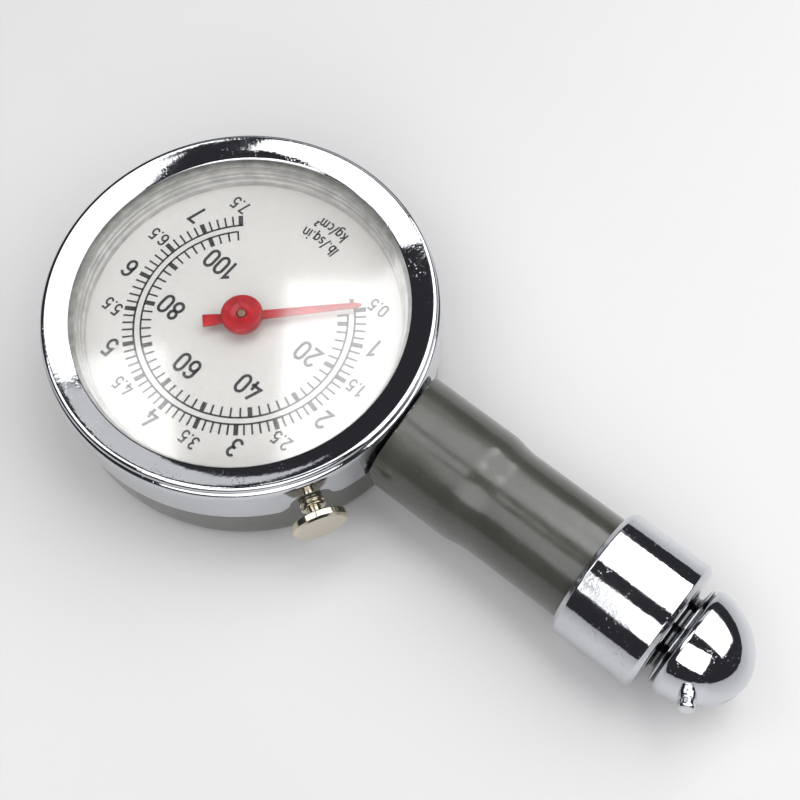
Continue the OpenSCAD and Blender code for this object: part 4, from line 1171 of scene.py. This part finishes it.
class GAUGE_OT_chuck(bpy.types.Operator):
    """Chromed sleeve and domed head, with the valve mouth and the bleed pin"""

    bl_idname = "gauge.chuck"
    bl_label = "Chuck"

    def execute(self, context):
        """Turns the sleeve's and the head's outlines, and joins and drills the mouth."""
        shape = context.scene.gauge_shape
        start, end, r = SLEEVE_LOW[0], SLEEVE_HIGH[0], SLEEVE_R
        over, cut = shape.handle_thin + 0.05 * MM, 0.7 * MM
        core, stop = shape.handle_thin - 1.6 * MM, start + 3.95 * MM
        corners = [
            (over, start), (r - cut, start), (r, start + cut), (r, end - cut), (r - cut, end),
            (core, end), (core, stop), (over, stop),
        ]
        radii = np.array([0.1, 0.14, 0.14, 0.14, 0.14, 0.1, 0.05, 0.05]) * MM
        sleeve = lathe("sleeve", rounded(corners, radii, 6), 256, STEM, ring=True)
        set_down(sleeve, "gauge", "chrome", FINISHES["worn_chrome"], "chuck_sleeve")
        head = lathe("head", self.head_outline(shape, end, core), 256, STEM)
        mouth, floor, face = self.mouth_place(shape), 0.6 * MM, 6.2 * MM
        bore = shape.mouth
        wall = bore + 1.05 * MM
        lip = rounded([(0, 2 * MM), (wall, 2 * MM), (wall, face), (0, face)],
                      [0, 0, 0.3 * MM, 0], 6)
        boss = lathe("mouth_boss", lip, 160, mouth)
        pocket = bore + 0.25 * MM
        seat = floor + 2.75 * MM
        hollow = rounded(
            [(0, floor), (pocket, floor), (pocket, seat), (bore, seat), (bore, face - 0.35 * MM),
             (bore + 1.2 * MM, face + 0.85 * MM), (0, face + 0.85 * MM)],
            [0, 0, 0, 0, 0.1 * MM, 0, 0], 4,
        )
        drill = lathe("mouth_drill", hollow, 160, mouth)
        add_and_cut(head, [boss], [drill])
        # painted shade: darkens the head's colour in its waist
        self.grime(head, shape, end)
        set_down(head, "gauge", "chrome", FINISHES["chrome"], "chuck_head")
        coat("pin_carrier", FINISHES["brass"])
        coat("mouth_seal", FINISHES["rubber"])
        self.bleed_pin(shape)
        return {"FINISHED"}

    def grime(self, head, shape, sleeve_end):
        """Paints shade into the waist: marks it so that the chrome colour there is darkened, apart
        from the crest of its thin ring.
        """
        waist, crest_at, crest_half = 1.9 * MM, 1.45 * MM, 0.12 * MM
        points = points_of(head)
        past = points[:, 0] - sleeve_end
        crest = np.abs(past - crest_at) < crest_half
        inside = from_stem(points) < shape.dome
        # painted shade: 0.85 of the mask darkens the waist's chrome colour, the crest left out
        add_wear(head, 0.85 * (inside & (past > 0) & (past < waist) & ~crest))

    def head_outline(self, shape, sleeve_end, core):
        """Outline of the head: shank, waist, thin ring, dome.

        The dome is (r/R)^p + (h/H)^p = 1 with p = 1.85.
        """
        power = 1.85
        tip, ring = HEAD_HIGH[0], sleeve_end + 1.3 * MM
        dome_r = shape.dome
        base = ring + 1.2 * MM
        low = [
            (0, HEAD_LOW[0]), (core - 0.02 * MM, HEAD_LOW[0]),
            (core - 0.02 * MM, sleeve_end + 0.1 * MM), (core - 0.9 * MM, sleeve_end + 0.4 * MM),
            (core - 0.9 * MM, ring - 0.4 * MM), (dome_r - 0.75 * MM, ring),
            (dome_r - 0.6 * MM, ring + 0.35 * MM), (dome_r - 1.0 * MM, ring + 0.45 * MM),
            (dome_r - 1.0 * MM, ring + 0.55 * MM), (dome_r - 0.4 * MM, ring + 0.65 * MM),
            (dome_r, base),
        ]
        radii = np.array([0, 0.1, 0.2, 0.2, 0.2, 0.12, 0.1, 0.03, 0.03, 0.35, 0]) * MM
        foot = rounded(low, radii, 5)[:-1]
        fullness = 2 / power
        a = np.linspace(0, math.pi / 2, 60)[1:]
        r = dome_r * np.cos(a) ** fullness
        dome = np.stack([r, base + (tip - base) * np.sin(a) ** fullness], -1)
        dome[-1] = (0, tip)
        return np.concatenate([foot, dome])

    def mouth_place(self, shape):
        """Axes and origin of the mouth, which points down and forward."""
        axis = (math.cos(shape.mouth_tilt), 0, -math.sin(shape.mouth_tilt))
        origin = np.array((SLEEVE_HIGH[0] + 3.8 * MM, STEM_Y, STEM_Z))
        return axes_towards(axis), origin

    def bleed_pin(self, shape):
        """Round-ended pin out of the head's lower side."""
        flat, lift = math.radians(-62.8), math.radians(19.9)
        axis = (math.cos(flat) * math.cos(lift), math.sin(flat) * math.cos(lift), math.sin(lift))
        origin = np.array((SLEEVE_HIGH[0] + 3.1 * MM, STEM_Y, STEM_Z))
        r, root, tip = shape.bleed, 4.6 * MM, 10 * MM
        corners = [
            (0, root), (r, root), (r, tip - 1.5 * MM), (r - 0.12 * MM, tip - 1.35 * MM),
            (r - 0.12 * MM, tip - 1.2 * MM), (r, tip - 1.05 * MM), (r, tip), (0, tip),
        ]
        radii = np.array([0, 0.05, 0.05, 0.04, 0.04, 0.05, 0.7, 0]) * MM
        pin = lathe("bleed", rounded(corners, radii, 9), 96, (axes_towards(axis), origin))
        set_down(pin, "gauge", "chrome", FINISHES["chrome"], "bleed_pin")


def add_and_cut(piece, added, removed):
    """Joins solids to a piece and takes others out of it, then drops the helpers."""
    for operation, helpers in (("UNION", added), ("DIFFERENCE", removed)):
        for helper in helpers:
            step = piece.modifiers.new(operation, "BOOLEAN")
            step.operation, step.object, step.solver = operation, helper, "EXACT"
            graph = bpy.context.evaluated_depsgraph_get()
            mesh = bpy.data.meshes.new_from_object(piece.evaluated_get(graph))
            piece.modifiers.clear()
            piece.data = mesh
            bpy.data.objects.remove(helper)
    mesh = piece.data
    mesh.name = piece.name
    mesh.set_sharp_from_angle(angle=math.radians(32))
    mesh.update()


class GAUGE_OT_works(bpy.types.Operator):
    """Finishes of the movement, the valves and the air path inside"""

    bl_idname = "gauge.works"
    bl_label = "Inside"

    def execute(self, context):
        """Coats every inner node that keeps its own mesh."""
        groups = {
            "brass": ("pinion", "spring_collet", "hairspring_stud", "base_plate", "top_plate",
                      "plate_pillars", "sector_gear", "link", "tube_tip", "socket_block",
                      "release_poppet", "check_body", "check_poppet"),
            "bronze": ("hairspring", "bourdon_tube", "air_tube"),
            "steel": ("plate_screws", "sector_arbor", "link_pivot", "link_screw", "socket_screws",
                      "button_clip", "button_spring", "check_spring"),
            "rubber": ("release_seal", "check_oring"),
        }
        for finish, nodes in groups.items():
            for node in nodes:
                coat(node, FINISHES[finish])
        return {"FINISHED"}


# Each soft box: name, place, size, directions of its first side and its back, power in watts
LAMPS = (
    ("far_box", (0.5374, 0.4934, 0.5709), (1.132, 0.91),
     (0.9993, 0.0351, 0.0083), (-0.014, 0.173, 0.985), 7.8),
    ("far_corner_box", (-0.068, 0.187, 0.585), (0.24, 0.26), (0.63, -0.777, 0), (0, 0, 1), 0.47),
    ("far_side_box", (-0.0695, 0.664, 0.585), (0.18, 0.95), (0.995, -0.1, 0), (0, 0, 1), 1.29),
    ("near_box", (0.38, -0.5235, 0.658), (0.668, 0.919),
     (0.0573, -0.8147, -0.577), (0.457, -0.492, 0.741), 4.6),
    ("side_box", (-0.333, -0.195, 0.585), (0.33, 0.56), (0.75, -0.66, 0), (0, 0, 1), 1.39),
    ("near_side_box", (-0.082, -0.52, 0.585), (0.136, 0.565), (1, 0, 0), (0, 0, 1), 0.46),
    ("wall_box", (-0.50, 0.82, 0.615), (0.6, 0.76), (1, 0, 0), (0, 0, 1), 1.1),
)


class GAUGE_OT_stage(bpy.types.Operator):
    """Pale table, soft boxes, a dim room and the camera"""

    bl_idname = "gauge.stage"
    bl_label = "Stage"

    def execute(self, context):
        """Lays the table at the height of the case back and sets lamps and camera round it."""
        half, below = 0.75, 0.02 * MM
        points = np.array([[-half, -half, 0], [half, -half, 0], [half, half, 0], [-half, half, 0]])
        table = new_piece("table", points - (0, 0, below), [np.array([[0, 1, 2, 3]])])
        table.data.materials.append(FINISHES["floor"])
        for lamp in LAMPS:
            self.soft_box(*lamp)
        self.room()
        self.camera(context)
        return {"FINISHED"}

    def soft_box(self, name, at, size, along, away, power):
        """A rectangular lamp at a place: its first side along a direction, its back to another."""
        light = bpy.data.lights.new(name, "AREA")
        light.shape = "RECTANGLE"
        light.size, light.size_y = size
        light.energy = power
        lamp = bpy.data.objects.new(name, light)
        back = Vector(away).normalized()
        side = back.cross(Vector(along)).normalized()
        turned_axes = Matrix((side.cross(back), side, back)).transposed()
        lamp.matrix_world = Matrix.Translation(at) @ turned_axes.to_4x4()
        bpy.context.scene.collection.objects.link(lamp)

    def room(self):
        """A dim room for reflections behind a pale backdrop for the eye."""
        world = bpy.data.worlds.new("room")
        bpy.context.scene.world = world
        world.use_nodes = True
        tree = world.node_tree
        ground = tree.nodes["Background"]
        ground.inputs["Strength"].default_value = 1
        path = tree.nodes.new("ShaderNodeLightPath")
        shade = tint(tree, path.outputs["Is Camera Ray"], (0.035, 0.035, 0.04), (0.72, 0.72, 0.73))
        tree.links.new(shade, ground.inputs["Color"])

    def camera(self, context):
        """A lens of 65 mm on a 36 mm sensor, above the near side of the handle."""
        lens = bpy.data.cameras.new("eye")
        lens.lens, lens.sensor_width = 64.95, 36
        lens.clip_start, lens.clip_end = 0.01, 20
        eye = bpy.data.objects.new("eye", lens)
        right = Vector((0.7739, 0.6324, -0.0332))
        up = Vector((-0.5704, 0.7189, 0.3972))
        back = right.cross(up).normalized()
        up = back.cross(right).normalized()
        turned_axes = Matrix((right.normalized(), up, back)).transposed()
        eye.matrix_world = Matrix.Translation((0.079032, -0.052548, 0.19432)) @ turned_axes.to_4x4()
        context.scene.collection.objects.link(eye)
        context.scene.camera = eye
        context.scene.view_settings.view_transform = "Standard"


class GAUGE_PT_panel(bpy.types.Panel):
    """Lists the gauge's sizes, colours and makers in the sidebar"""

    bl_idname = "GAUGE_PT_panel"
    bl_label = "Dial tyre gauge"
    bl_space_type = "VIEW_3D"
    bl_region_type = "UI"
    bl_category = "Gauge"

    def draw(self, context):
        """Shows every property, then one button for each operator."""
        for group_name in GROUPS:
            group = getattr(context.scene, group_name)
            column = self.layout.column()
            for name in group.__annotations__:
                column.prop(group, name)
        for operator in OPERATORS:
            self.layout.operator(operator.bl_idname)


GROUPS = {"gauge_shape": GaugeShape, "gauge_dial": GaugeDial, "gauge_finish": GaugeFinish}
OPERATORS = (
    GAUGE_OT_case, GAUGE_OT_bezel, GAUGE_OT_window, GAUGE_OT_dial, GAUGE_OT_pointer,
    GAUGE_OT_handle, GAUGE_OT_button, GAUGE_OT_chuck, GAUGE_OT_works, GAUGE_OT_stage,
)


def register():
    """Registers the classes and hangs the property groups on the scene."""
    for item in (*GROUPS.values(), *OPERATORS, GAUGE_PT_panel):
        bpy.utils.register_class(item)
    for name, group in GROUPS.items():
        setattr(bpy.types.Scene, name, PointerProperty(type=group))


def unregister():
    """Takes everything off again, last first."""
    for name in GROUPS:
        delattr(bpy.types.Scene, name)
    for item in reversed((*GROUPS.values(), *OPERATORS, GAUGE_PT_panel)):
        bpy.utils.unregister_class(item)


def main():
    """Builds the whole gauge."""
    register()
    make_finishes(bpy.context.scene.gauge_finish)
    bpy.ops.gauge.case()
    bpy.ops.gauge.bezel()
    bpy.ops.gauge.window()
    bpy.ops.gauge.dial()
    bpy.ops.gauge.pointer()
    bpy.ops.gauge.handle()
    bpy.ops.gauge.button()
    bpy.ops.gauge.chuck()
    bpy.ops.gauge.works()
    bpy.ops.gauge.stage()
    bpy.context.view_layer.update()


if __name__ == "__main__":
    main()
